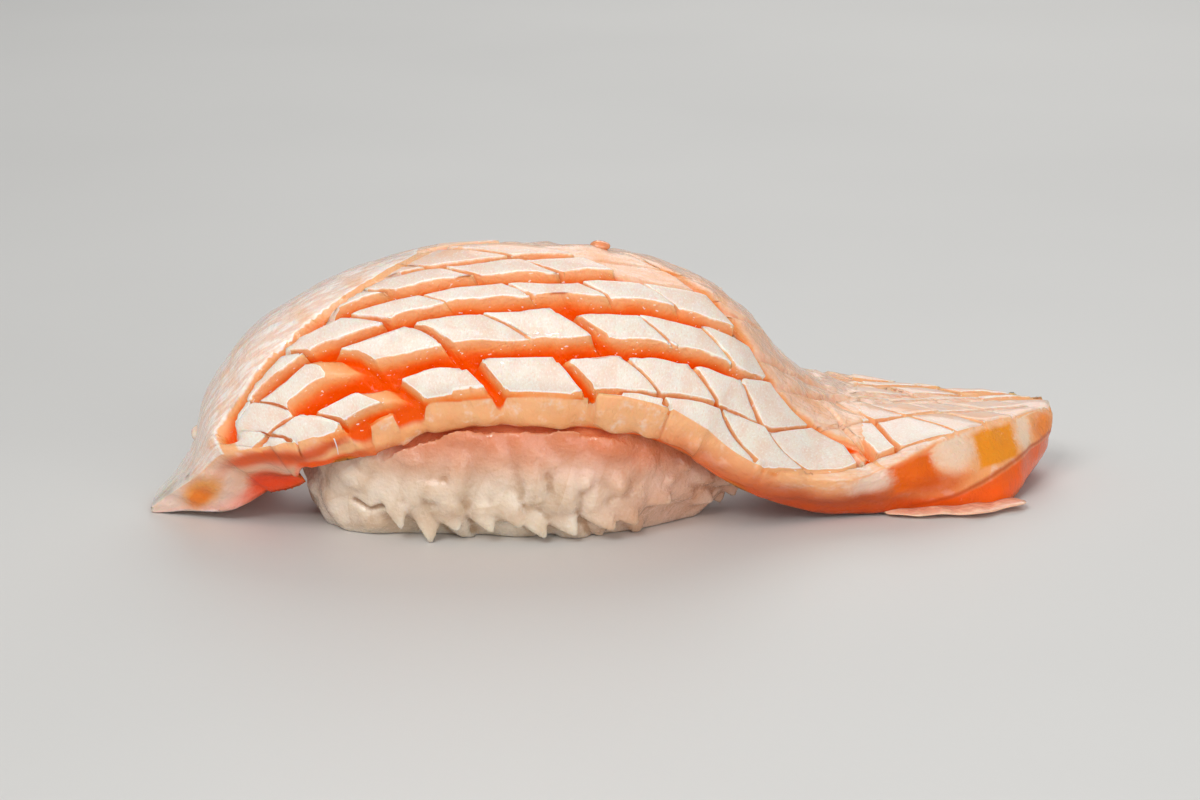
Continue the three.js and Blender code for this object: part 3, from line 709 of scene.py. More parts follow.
def membrane_mesh(sizes):
    """The clear lip of membrane that lies on the table along the tail's lower edge."""
    skin, under = outline(sizes.edge_points)
    run = np.concatenate([[0.0], np.cumsum(np.linalg.norm(np.diff(skin, axis=0), axis=1))])
    kept = under[(run > MEMBRANE_FROM) & (run < MEMBRANE_TO)]
    s, t = kept[:, 0], kept[:, 1] / FLAT_HALF
    base = bend(s, t, thickness(s, t))
    way = np.gradient(base[:, :2], axis=0)
    way = np.stack([way[:, 1], -way[:, 0], 0 * s], axis=1)
    way /= np.linalg.norm(way, axis=1)[:, None]
    part = np.linspace(0, 1, len(s))
    swell = np.sin(math.pi * part) ** 0.35
    reach = MEMBRANE_REACH * swell * (1 + 0.4 * wobble(s, 4.0, 61))
    middle = base + way * (reach * 0.3)[:, None]
    middle[:, 2] = MEMBRANE_THICK * (0.7 + 0.5 * part + 0.25 * wobble(s, 3.0, 62))
    rise = np.array([[0.0, 0.0, 1.0]]) + 0 * way
    return sweep(middle, way, rise, 0.2 + reach, MEMBRANE_THICK / 2 * (0.3 + 0.7 * swell))


def thread_mesh():
    """A fine white thread of tissue that hangs from a facet's corner over the near side."""
    part = np.linspace(0, 1, 14)
    s = THREAD_S - 0.35 * part**2
    w = THREAD_TOP + (THREAD_BOTTOM - THREAD_TOP) * part
    outer = np.interp(w, SIDE_PROFILE[:, 0], SIDE_PROFILE[:, 1]) + 0.3
    middle = bend(s, -1 - outer / FLAT_HALF, w)
    across = np.array([[1.0, 0.0, 0.0]]) + 0 * middle
    rise = np.array([[0.0, -1.0, 0.0]]) + 0 * middle
    half = THREAD_HALF * (1.1 - 0.6 * part)
    return sweep(middle, across, rise, half, half, 8)


def crumb_mesh(s, t, height, along, across, up):
    """A small uneven lump on the skin."""
    points, faces = ball(24, 16)
    points = points * (1 + 0.12 * waves(points, 1.6, 71))[:, None]
    middle = bend(np.array([s]), np.array([t]), np.array([-height]))[0]
    return points * [along, across, up] + middle, faces


# ---------------------------------------------------------------- the rice

RICE_MIDDLE = np.array([-8.0, -0.4, 6.6])
RICE_HALF = np.array([22.7, 11.9, 11.3])
RICE_POWER = 2.8  # how square the block is
GOLDEN = math.pi * (3 - math.sqrt(5))  # turn that spreads grains evenly
GRAIN_LEAN = np.array([0.9, -0.2, -1.1])  # way that most grains lie
LOWEST_GRAIN = 0.5
PROUD_LOOSE, PROUD_PRESSED = 1.35, 0.62  # how far grains stand out of the block, in mm

# Grain ends that hang at the block's near foot: x and z of the tip, and the lean to the right.
TEETH = [
    (-17.2, 0.0, 0.16), (-14.4, 0.7, 0.4), (-10.8, 0.7, 0.45), (-5.4, 0.5, 0.6), (-1.9, 0.4, 0.75),
    (1.7, 0.9, 0.7), (4.2, 1.5, 0.8), (7.4, 2.2, 0.9), (-20.5, 1.4, 0.2), (-8.0, 1.4, 0.5),
]
TOOTH_LENGTH, TOOTH_WIDTH = 7.0, 3.6
TOOTH_SCALE = np.array([TOOTH_WIDTH / 2.9, 0.8, TOOTH_LENGTH / 6.4])  # against a plain grain
TOOTH_PROUD, TOOTH_POINT = 0.9, 0.45
TOWARDS_NEAR = np.array([0.0, -1.0, 0.0])
FOOT_DRAW = 2.2  # how far the near foot draws in behind them
TAPER, LIFT = 0.4, 2.4  # how much the block narrows, and rises in mm, at its right end
CREASE = np.array([[-25.4, 3.9], [-23.7, 3.0], [-22.5, 3.5]])  # x and z of a fold in the pressed left end
FOLD_DEPTH, FOLD_HALF = 0.55, 0.3


def core_surface(direction):
    """Point and outward normal of the rice block's plain form in each direction."""
    size = (np.abs(direction / RICE_HALF) ** RICE_POWER).sum(axis=1)
    reach = size ** (-1 / RICE_POWER)
    local = direction * reach[:, None]
    normal = np.sign(local) * np.abs(local / RICE_HALF) ** (RICE_POWER - 1) / RICE_HALF
    return local + RICE_MIDDLE, normal / np.linalg.norm(normal, axis=1)[:, None]


def ball(columns, rows):
    """A closed unit ball: points and triangles."""
    points = [[0.0, 0.0, 1.0]]
    for i in range(1, rows):
        tilt = math.pi * i / rows
        for j in range(columns):
            turn = 2 * math.pi * (j + 0.5 * (i % 2)) / columns
            points.append([math.sin(tilt) * math.cos(turn), math.sin(tilt) * math.sin(turn), math.cos(tilt)])
    points.append([0.0, 0.0, -1.0])
    faces = []
    last = len(points) - 1
    for j in range(columns):
        k = (j + 1) % columns
        faces.append([0, 1 + j, 1 + k])
        base = 1 + (rows - 2) * columns
        faces.append([last, base + k, base + j])
        for i in range(rows - 2):
            a, b = 1 + i * columns, 1 + (i + 1) * columns
            faces.append([a + j, b + j, b + k])
            faces.append([a + j, b + k, a + k])
    return np.array(points), np.array(faces)


def grain_form(rng, sizes, pointed=0.0):
    """One cooked grain along its own Z: long, blunt, a little bent, with a shallow furrow."""
    points, faces = ball(12, 10)
    points = points.copy()
    z = points[:, 2]
    plump = (1 - 0.14 * z - 0.1 * z**2) * (1 - pointed * np.clip(z, 0, 1))
    length = sizes.grain_length / MM / 2 * rng.uniform(0.85, 1.15)
    width = sizes.grain_width / MM / 2 * rng.uniform(0.9, 1.12)
    out = points * [1, 0.86, 1]
    out[:, :2] *= plump[:, None]
    out[:, 0] += rng.uniform(-0.16, 0.16) * z**2
    out[:, 1] -= 0.08 * np.exp(-(points[:, 0] / 0.25) ** 2) * (points[:, 1] > 0)
    return out * [width, width, length], faces


def orient(points, axis, normal):
    """Points turned so that their Z follows the axis and their Y faces along the normal."""
    side = np.cross(normal, axis)
    side /= np.linalg.norm(side)
    up = np.cross(axis, side)
    return points @ np.stack([side, up, axis])


def pressed(points):
    """How smoothly the block is pressed: 1 at its left end and under the slice, 0 at its foot."""
    high = smooth(points[..., 2], 3.5, 10.0) * 0.8
    left = smooth(points[..., 0], -16.5, -21.0)
    front = smooth(points[..., 1], 2.0, -4.0)
    return np.maximum(high, left) * (0.5 + 0.5 * front)


def grain_places(sizes):
    """Middle, axis and outward normal of every grain, evenly over the block."""
    rng = np.random.default_rng(7)
    count = sizes.grain_count
    k = np.arange(count)
    up = 1 - 2 * (k + 0.5) / count
    ring = np.sqrt(1 - up**2)
    direction = np.stack([np.cos(GOLDEN * k) * ring, up, np.sin(GOLDEN * k) * ring], axis=1) * RICE_HALF
    place, normal = core_surface(direction)
    half_length, half_width = sizes.grain_length / MM / 2, sizes.grain_width / MM / 2
    found = []
    for point, out in zip(place, normal):
        spin, tip, proud = rng.uniform(0, 2 * math.pi), rng.uniform(-0.1, 0.5), rng.uniform(0.6, 1.2)
        if point[2] < LOWEST_GRAIN:
            continue
        side = np.cross([0.0, 0.0, 1.0], out)
        side /= np.linalg.norm(side) + 1e-9
        rise = np.cross(out, side)
        axis = side * math.cos(spin) + rise * math.sin(spin) + out * tip + GRAIN_LEAN
        axis /= np.linalg.norm(axis)
        steep = float(axis @ out)
        reach = math.hypot(steep * half_length, math.sqrt(1 - steep**2) * half_width)
        smoothness = float(pressed(point))
        stand = (PROUD_LOOSE + (PROUD_PRESSED - PROUD_LOOSE) * smoothness) * proud
        found.append((point - out * (reach - stand), axis, out))
    return found


def teeth(sizes):
    """The pointed grain ends along the near foot of the block."""
    rng = np.random.default_rng(23)
    parts = []
    for x, z, lean in TEETH:
        direction = np.array([[x, 0.0, z]]) - RICE_MIDDLE
        across = (np.abs(direction / RICE_HALF) ** RICE_POWER)[0, [0, 2]].sum()
        y = RICE_MIDDLE[1] - RICE_HALF[1] * max(1 - across, 0.02) ** (1 / RICE_POWER)
        axis = np.array([lean, -0.3, -0.9])
        axis /= np.linalg.norm(axis)
        form, faces = grain_form(rng, sizes, TOOTH_POINT)
        tip = np.array([x, y - TOOTH_PROUD, z])
        placed = orient(form * TOOTH_SCALE, axis, TOWARDS_NEAR) + tip - axis * TOOTH_LENGTH / 2
        parts.append((placed, faces))
    return parts


def draw_in(points):
    """The near foot of the block drawn in behind the hanging grain ends."""
    near = smooth(points[:, 1], -3.0, -8.0) * smooth(points[:, 0], -25.0, -19.0)
    y = points[:, 1] + FOOT_DRAW * near * smooth(points[:, 2], 4.5, 0.0)
    return np.stack([points[:, 0], y, points[:, 2]], axis=1)


def rice_parts(sizes):
    """The block's plain core, its grains and its hanging grain ends."""
    rng = np.random.default_rng(19)
    core, core_faces = ball(60, 40)
    place, _ = core_surface(core * RICE_HALF)
    parts = [(place, core_faces)]
    for middle, axis, normal in grain_places(sizes):
        form, faces = grain_form(rng, sizes)
        parts.append((orient(form, axis, normal) + middle, faces))
    drawn = [(draw_in(points), faces) for points, faces in parts]
    return drawn + teeth(sizes)


def settled(points):
    """The block drawn in and lifted towards its right end."""
    right = smooth(points[:, 0], -1.0, 13.0)
    near = points[:, 1] < 0
    y = points[:, 1] * (1 - TAPER * right * near)
    z = points[:, 2] + LIFT * smooth(points[:, 0], 2.0, 14.0) * np.clip(1 - points[:, 2] / 10, 0, 1)
    return np.stack([points[:, 0], y, z], axis=1)


def fold(points):
    """Depth of the fold in the left end."""
    flat = points[:, [0, 2]]
    nearest = np.full(len(points), 9.0)
    for start, end in zip(CREASE[:-1], CREASE[1:]):
        way = end - start
        part = np.clip((flat - start) @ way / (way @ way), 0, 1)
        nearest = np.minimum(nearest, np.linalg.norm(flat - start - part[:, None] * way, axis=1))
    return FOLD_DEPTH * np.exp(-(nearest / FOLD_HALF) ** 2) * (points[:, 1] < 0)


def joined(parts):
    """Several meshes as one."""
    points, faces, start = [], [], 0
    for place, triangles in parts:
        points.append(place)
        faces.append(triangles + start)
        start += len(place)
    return np.concatenate(points), np.concatenate(faces)


def slab_clearance():
    """The room the slice takes up over the rice, with a hair's gap, as a closed mesh."""
    columns, rows = 90, 26
    s, t = np.meshgrid(np.linspace(0, LENGTH, columns), np.linspace(-1.05, 1.05, rows), indexing="ij")
    upper = bend(s, t, 0 * s - 6).reshape(-1, 3)
    lower = bend(s, t, thickness(s, t) + 0.12).reshape(-1, 3)
    points = np.concatenate([upper, lower])
    half = columns * rows
    faces = []
    for i in range(columns - 1):
        for j in range(rows - 1):
            a, b, c, d = i * rows + j, (i + 1) * rows + j, (i + 1) * rows + j + 1, i * rows + j + 1
            faces += [[a, b, c], [a, c, d], [half + a, half + c, half + b], [half + a, half + d, half + c]]
    for i in range(columns - 1):
        for j, flip in ((0, False), (rows - 1, True)):
            a, b = i * rows + j, (i + 1) * rows + j
            quad = [[a, half + a, half + b], [a, half + b, b]]
            faces += [f[::-1] for f in quad] if flip else quad
    for j in range(rows - 1):
        for i, flip in ((0, True), (columns - 1, False)):
            a, b = i * rows + j, i * rows + j + 1
            quad = [[a, half + a, half + b], [a, half + b, b]]
            faces += [f[::-1] for f in quad] if flip else quad
    return points, np.array(faces)


def applied(piece):
    """Replaces an object's mesh by what its modifiers make of it."""
    depsgraph = bpy.context.evaluated_depsgraph_get()
    mesh = bpy.data.meshes.new_from_object(piece.evaluated_get(depsgraph))
    old = piece.data
    piece.modifiers.clear()
    piece.data = mesh
    bpy.data.meshes.remove(old)


def rice_surface(sizes):
    """Core and grains pressed into one skin, trimmed under the slice."""
    heap, heap_faces = joined(rice_parts(sizes))
    lump = linked_object("rice_lump", settled(heap), heap_faces)
    fuse = lump.modifiers.new("fuse", "REMESH")
    fuse.mode = "VOXEL"
    fuse.voxel_size = sizes.rice_voxel / MM
    soften = lump.modifiers.new("soften", "SMOOTH")
    soften.factor = 0.5
    soften.iterations = sizes.rice_soften
    applied(lump)
    lid = linked_object("rice_lid", *slab_clearance())
    trim = lump.modifiers.new("trim", "BOOLEAN")
    trim.operation = "DIFFERENCE"
    trim.solver = "MANIFOLD"
    trim.object = lid
    applied(lump)
    bpy.data.objects.remove(lid)
    lump.data.calc_loop_triangles()
    points = np.empty(len(lump.data.vertices) * 3)
    lump.data.vertices.foreach_get("co", points)
    faces = np.empty(len(lump.data.loop_triangles) * 3, int)
    lump.data.loop_triangles.foreach_get("vertices", faces)
    bpy.data.objects.remove(lump)
    return points.reshape(-1, 3), faces.reshape(-1, 3)


def neighbour_mean(values, faces, count):
    """For each of a mesh's points, the mean of its neighbours' values."""
    total = np.zeros((count,) + values.shape[1:])
    number = np.zeros(count)
    for a, b in ((0, 1), (1, 2), (2, 0)):
        np.add.at(total, faces[:, a], values[faces[:, b]])
        np.add.at(total, faces[:, b], values[faces[:, a]])
        np.add.at(number, faces[:, a], 1)
        np.add.at(number, faces[:, b], 1)
    return total / np.maximum(number, 1).reshape((-1,) + (1,) * (values.ndim - 1))


# ---------------------------------------------------------------- shader expressions


class Signal:
    """A shader socket that takes part in Python expressions, each adding its Math node."""

    def __init__(self, graph, socket):
        self.graph = graph
        self.socket = socket

    def math(self, operation, *values):
        return self.graph.node("ShaderNodeMath", {"operation": operation}, dict(enumerate(values)))

    def __add__(self, other):
        return self.math("ADD", self, other)

    def __radd__(self, other):
        return self.math("ADD", other, self)

    def __sub__(self, other):
        return self.math("SUBTRACT", self, other)

    def __rsub__(self, other):
        return self.math("SUBTRACT", other, self)

    def __mul__(self, other):
        return self.math("MULTIPLY", self, other)

    def __rmul__(self, other):
        return self.math("MULTIPLY", other, self)

    def __truediv__(self, other):
        return self.math("DIVIDE", self, other)

    def __pow__(self, other):
        return self.math("POWER", self, other)

    def __abs__(self):
        return self.math("ABSOLUTE", self)

    def high(self, other):
        return self.math("MAXIMUM", self, other)

    def step(self, low, high):
        """0 below low, 1 above high, smooth between; falls instead where low is above high."""
        ends = (high, low, 1.0, 0.0) if low > high else (low, high, 0.0, 1.0)
        settings = {"interpolation_type": "SMOOTHSTEP"}
        return self.graph.node("ShaderNodeMapRange", settings, dict(enumerate((self, *ends))))

    def bump(self, middle, spread):
        """1 at the middle value, falling to 0 a spread away on either side."""
        return abs(self - middle).step(spread, 0.0)


class Paint:
    """One material's node tree."""

    def __init__(self, name):
        self.material = bpy.data.materials.new(name)
        self.material.use_nodes = True
        self.tree = self.material.node_tree
        self.tree.nodes.clear()

    def node(self, kind, settings=None, values=None, output=0):
        made = self.tree.nodes.new(kind)
        for key, value in (settings or {}).items():
            if key == "stops":
                ramp = made.color_ramp
                while len(ramp.elements) < len(value):
                    ramp.elements.new(0.5)
                for element, (place, colour) in zip(ramp.elements, value):
                    element.position = place
                    element.color = (*colour, 1.0)
            else:
                setattr(made, key, value)
        for key, value in (values or {}).items():
            socket = made.inputs[key]
            if isinstance(value, Signal):
                self.tree.links.new(value.socket, socket)
            else:
                socket.default_value = value
        return Signal(self, made.outputs[output]) if made.outputs else None

    def attribute(self, name, output="Fac"):
        return self.node("ShaderNodeAttribute", {"attribute_name": name}, output=output)

    def mix(self, first, second, factor):
        """One colour over another; a colour is a socket or three numbers."""
        first, second = (c if isinstance(c, Signal) else (*c[:3], 1.0) for c in (first, second))
        return self.node("ShaderNodeMix", {"data_type": "RGBA", "clamp_factor": True},
                         {0: factor, 6: first, 7: second}, output=2)

    def noise(self, vector, scale, detail=2.0, roughness=0.5):
        return self.node("ShaderNodeTexNoise", {}, {
            "Vector": vector, "Scale": scale, "Detail": detail, "Roughness": roughness})

    def cells(self, vector, scale):
        """One shade for each cell, and the distance from its middle."""
        settings = {"feature": "F1"}
        values = {"Vector": vector, "Scale": scale}
        return [self.node("ShaderNodeTexVoronoi", settings, values, output=k) for k in (1, 0)]

    def scaled(self, vector, factors):
        return self.node("ShaderNodeVectorMath", {"operation": "MULTIPLY"}, {0: vector, 1: factors})

    def parts(self, vector):
        return [self.node("ShaderNodeSeparateXYZ", {}, {0: vector}, output=k) for k in range(3)]

    def relief(self, height, distance, strength=1.0):
        values = {"Height": height, "Distance": distance, "Strength": strength}
        return self.node("ShaderNodeBump", {}, values)

    def surface(self, **values):
        values = {key.replace("_", " "): value for key, value in values.items()}
        shader = self.node("ShaderNodeBsdfPrincipled", {}, values)
        self.node("ShaderNodeOutputMaterial", {}, {"Surface": shader})
        return self.material


def srgb(red, green, blue):
    """A display colour, 0 to 255, as scene-linear values."""
    shades = (value / 255 for value in (red, green, blue))
    return tuple(((v + 0.055) / 1.055) ** 2.4 if v > 0.04 else v / 12.92 for v in shades)


# ---------------------------------------------------------------- materials

# Patches on the cut side: colour, strength, middle along the edge and down it, half length and half
# depth, all in mm, how soft the edge is (share of the patch), and whether it is square.
SIDE_PATCHES = [
    ((240, 212, 198), 0.9, 3.0, 2.5, 9.0, 5.0, 0.5, False),
    ((246, 160, 60), 0.9, 6.9, 1.9, 2.6, 1.7, 0.5, False),
    ((240, 122, 6), 0.8, 6.4, 2.2, 1.6, 0.9, 0.5, False),
    # This dark orange line along the foot, and the one at 25 mm below, are painted shade of an undercut below
    # the near facets, over orange flesh.
    ((228, 88, 26), 0.95, 18.5, 1.6, 7.0, 1.1, 0.5, False),
    ((244, 188, 160), 0.8, 18.5, 3.2, 5.0, 1.0, 0.6, False),
    ((242, 66, 12), 0.95, 15.5, 6.6, 4.8, 2.6, 0.4, False),
    ((206, 78, 22), 0.7, 17.5, 5.0, 2.0, 0.6, 0.6, False),
    ((216, 80, 16), 0.9, 25.0, 1.1, 7.5, 0.5, 0.7, False),
    ((222, 96, 28), 0.85, 31.0, 3.6, 5.0, 0.8, 0.6, False),
    ((230, 110, 46), 0.85, 84.0, 3.6, 12.0, 2.6, 0.5, False),
    # Painted shade: darker flesh low on the side where the tail starts, near the table.
    ((190, 72, 16), 0.9, 93.5, 4.3, 8.0, 2.6, 0.5, False),
    ((246, 216, 196), 0.9, 97.2, 1.2, 2.2, 1.1, 0.6, False),
    ((236, 104, 0), 1.0, 101.4, 2.1, 2.9, 1.7, 0.3, True),
    ((212, 88, 14), 0.8, 104.5, 3.6, 4.0, 1.2, 0.6, False),
    ((240, 208, 182), 0.9, 107.6, 1.0, 2.9, 1.7, 0.5, False),
    ((238, 146, 26), 1.0, 114.6, 1.9, 3.3, 1.35, 0.16, True),
    ((246, 214, 186), 0.9, 120.0, 1.4, 1.3, 1.6, 0.5, False),
    ((246, 134, 40), 0.9, 124.0, 1.6, 2.4, 1.4, 0.6, False),
]
# The lower edge of the tail's side, which runs down to the left, and the flesh tucked under it.
TUCK_MIDDLE, TUCK_DEPTH, TUCK_FALL = 108.6, 4.7, 0.135
TUCK_SHADE, TUCK_LINE = (240, 94, 0), (190, 70, 0)
TAIL_SPAN = (97.0, 101.0), (131.0, 127.0)  # where that begins and ends along the edge
# Painted shade: the flesh at the tail's foot drawn darker close to the table.
TAIL_FOOT_PAINTED_SHADE = (168, 62, 16)  # flesh at the tail's foot, close to the table
TAIL_FOOT_SHADE_SPAN = (86.0, 92.0), (114.0, 106.0)
FLESH_SCATTER = (0.9, 0.42, 0.22)  # how far red, green and blue travel in flesh, in mm
RICE_SCATTER = (1.0, 0.75, 0.5)
BLACK = (0.0, 0.0, 0.0)


class SalmonPaint(Paint):
    """The slice's paint: the values that its mesh carries, and the unevenness that several colours share."""

    def __init__(self, look):
        super().__init__("scored salmon")
        self.look = look
        self.flat = self.attribute("flat", "Vector")
        self.s, self.y, self.w = self.parts(self.flat)
        self.side = self.attribute("side")
        self.film = self.attribute("film")
        self.round = self.attribute("round")
        self.grainy = self.noise(self.flat, 5.0, 3.0, 0.7)
        self.fine = self.noise(self.flat, 2.6, 3.0, 0.6)
        self.broad = self.noise(self.scaled(self.flat, (0.3, 0.3, 0.4)), 1.0, 2.0) - 0.5
        self.ragged = self.noise(self.scaled(self.flat, (1.0, 1.0, 0.3)), 0.6, 3.0, 0.6) - 0.5
        self.edge = self.attribute("edge") + self.ragged * 0.12
        self.border = self.border_distance() + self.ragged * 0.5
        self.on_top = self.side.step(0.5, 0.1) * self.border.step(1.9, 2.4)
        self.skin = self.edge.step(-0.03, 0.02) * self.on_top
        self.deep = self.cut_depth().step(0.8, 1.8).high(self.film.step(-0.2, -0.75))

    def border_distance(self):
        """Distance along the slice beyond the unscored left end, as border() gives it."""
        y = self.y
        rising = y.step(MARGIN_LOW * FLAT_HALF, MARGIN_HIGH * FLAT_HALF) * (MARGIN_RIGHT - MARGIN_LEFT)
        falling = y.step(*(t * FLAT_HALF for t in MARGIN_FAR)) * MARGIN_BACK
        return self.s - MARGIN_LEFT - rising + falling

    def cut_depth(self):
        return self.w + self.broad * 0.9 + (self.fine - 0.5) * 0.25

    def cut_colour(self):
        """Flesh in the cuts: pale under the skin, orange at the bottom."""
        look = self.look
        colour = self.mix(look.flesh_pale, look.flesh_mid, self.cut_depth().step(0.1, 1.3))
        return self.mix(colour, look.flesh_deep, self.deep)

    def side_part(self):
        """How far down the cut side a point lies: 0 at the skin, 1 at the underside."""
        return self.attribute("part") + self.broad * 0.12

    def side_colour(self):
        """The cut side: pale flesh with a film, a deep lower edge, its patches (a few of them painted shade),
        and painted shade at the tail's foot.
        """
        look, part = self.look, self.side_part()
        lower = (self.w + self.broad * 2.4).step(1.5, 4.5)
        veil = self.noise(self.scaled(self.flat, (0.5, 0.5, 0.9)), 1.0, 3.0, 0.6)
        colour = self.mix(look.flesh_pale, look.flesh_mid, lower * 0.6)
        colour = self.mix(colour, look.belly_streak, veil.step(0.52, 0.72) * 0.4)
        colour = self.mix(colour, look.flesh_deep, part.step(0.66, 0.88))
        for patch in SIDE_PATCHES:
            colour = self.patched(colour, *patch)
        tucked = self.w + (self.round - TUCK_MIDDLE) * TUCK_FALL + self.broad * 0.3
        tail, base = (self.round.step(*a) * self.round.step(*b) for a, b in (TAIL_SPAN, TAIL_FOOT_SHADE_SPAN))
        colour = self.mix(colour, srgb(*TUCK_SHADE), tucked.step(TUCK_DEPTH, TUCK_DEPTH + 0.5) * tail * 0.95)
        colour = self.mix(colour, srgb(*TUCK_LINE), tucked.bump(TUCK_DEPTH, 0.4) * tail * 0.8)
        # Painted shade: the lowest part of the side darkened at the tail's foot, next to the table.
        return self.mix(colour, srgb(*TAIL_FOOT_PAINTED_SHADE), part.step(0.7, 1.0) * base * 0.8)

    def patched(self, colour, shade, strength, along, down, half_along, half_down, soft, square):
        x = abs(self.round + (self.fine - 0.5) * 1.2 - along) / half_along
        y = abs(self.w + self.broad * 0.8 - down) / half_down
        reach = x.high(y) if square else (x * x + y * y) ** 0.5
        return self.mix(colour, srgb(*shade), reach.step(1 + soft, 1 - soft) * strength)

    def belly_colour(self):
        """The unscored left end: pale, with streaks, a painted highlight on the ridge at its border and a
        silvery tip.
        """
        look = self.look
        streaks = self.noise(self.scaled(self.flat, (0.3, 2.0, 1.0)), 1.0, 4.0, 0.65)
        colour = self.mix(look.belly, look.belly_streak, streaks.step(0.4, 0.62))
        colour = self.mix(colour, look.flesh_pale, self.broad.step(0.0, 0.22) * 0.5)
        # Painted highlight along the ridge at the border of the unscored end.
        colour = self.mix(colour, look.skin_white_and_highlight, self.border.bump(-0.25, 0.35) * 0.5)
        return self.mix(colour, look.skin, self.s.step(8.0, 5.0) * 0.8)

    def skin_colour(self, blotch):
        """Silvery skin, duller towards the crest, with painted highlights: sparkle on its own grain and a
        bright line along its rim.
        """
        look, grainy = self.look, self.grainy
        crest = (self.y + (blotch - 0.5) * 6.0).step(-8.0, -1.0)
        # Painted highlight along the skin's cut rim.
        rim = self.edge.bump(0.03, 0.1) * self.on_top
        colour = self.mix(look.skin, look.skin_dim, (blotch.step(0.35, 0.75) * 0.55).high(crest * 0.85))
        # Painted sparkle highlights on the skin's own grain, and the painted rim highlight.
        colour = self.mix(colour, look.skin_white_and_highlight, (grainy.step(0.52, 0.7) * 0.55).high(rim * 0.8))
        return self.mix(colour, look.skin_dim, grainy.step(0.46, 0.34) * 0.5)

    def worn(self, blotch):
        """Where the skin on the crest has worn through."""
        crest = self.y.step(-4.0, 0.5) * self.y.step(9.0, 5.0)
        return (blotch + self.ragged * 1.1 + crest * 0.12).step(0.52, 0.58) * crest * 0.85

    def relief_normal(self):
        """Grain on the skin, wet unevenness on the flesh, and the skin's own step over it."""
        wet = self.noise(self.flat, 1.1, 3.0, 0.6) * (1.4 + 1.2 * self.film)
        height = self.grainy * 0.25 * self.skin + (self.fine * 0.9 + wet) * (1 - self.skin) + self.skin * 0.6
        return self.relief(height, 0.16 * MM, 0.9)


def salmon_material(look):
    paint = SalmonPaint(look)
    side, skin = paint.side, paint.skin
    margin = paint.border.step(0.1, -0.15)
    colour = paint.mix(paint.cut_colour(), paint.side_colour(), side.step(0.2, 0.8))
    colour = paint.mix(colour, paint.belly_colour(), margin.high(paint.film) * side.step(0.6, 0.1))
    blotch = paint.noise(paint.scaled(paint.flat, (0.4, 0.4, 0.4)), 1.0, 2.0)
    colour = paint.mix(colour, paint.skin_colour(blotch), skin * (1 - paint.worn(blotch)))

    on_flesh = (1 - skin) * side.step(0.5, 0.2)
    # Painted glints: tiny white spots near the cut edges and, fainter, over the flesh, standing in for wet
    # highlights.
    glint_noise = paint.noise(paint.scaled(paint.flat, (0.7, 1.6, 1.6)), 2.4, 1.0).step(0.7, 0.73)
    painted_glints = glint_noise * on_flesh * (paint.edge.bump(-0.3, 0.6) * 0.7 + 0.12)
    colour = paint.mix(colour, look.skin_white_and_highlight, painted_glints)
    under = paint.side_part().step(0.66, 0.88) * side.step(0.4, 0.8) * side.step(1.6, 1.2)
    glow = (paint.deep * on_flesh).high(under)  # stands in for light that travels through the flesh
    return paint.surface(
        Base_Color=colour,
        Roughness=(0.2 + 0.24 * skin + 0.14 * (paint.fine - 0.5)).high(0.08),
        Normal=paint.relief_normal(),
        IOR=1.4,
        Subsurface_Weight=0.5,
        Subsurface_Radius=FLESH_SCATTER,
        Subsurface_Scale=1.1 * MM,
        Coat_Weight=0.4 - 0.36 * (paint.deep * on_flesh),
        Coat_Roughness=0.05,
        Specular_IOR_Level=0.2,
        Emission_Color=paint.mix(BLACK, look.flesh_deep, glow),
        Emission_Strength=0.12,
    )


def scrap_material(name, shade):
    """Wet tissue of one colour, slightly cloudy."""
    paint = Paint(name)
    place = paint.node("ShaderNodeTexCoord", {}, {}, output="Object")
    cloud = paint.noise(place, 900.0, 3.0)
    colour = paint.mix(shade, tuple(min(1.0, 1.35 * v) for v in shade), cloud.step(0.45, 0.7))
    return paint.surface(
        Base_Color=colour, Roughness=0.16, Normal=paint.relief(cloud, 0.3 * MM, 0.8), IOR=1.38,
        Subsurface_Weight=0.6, Subsurface_Radius=FLESH_SCATTER, Subsurface_Scale=1.0 * MM,
        Coat_Weight=0.5, Coat_Roughness=0.04,
    )


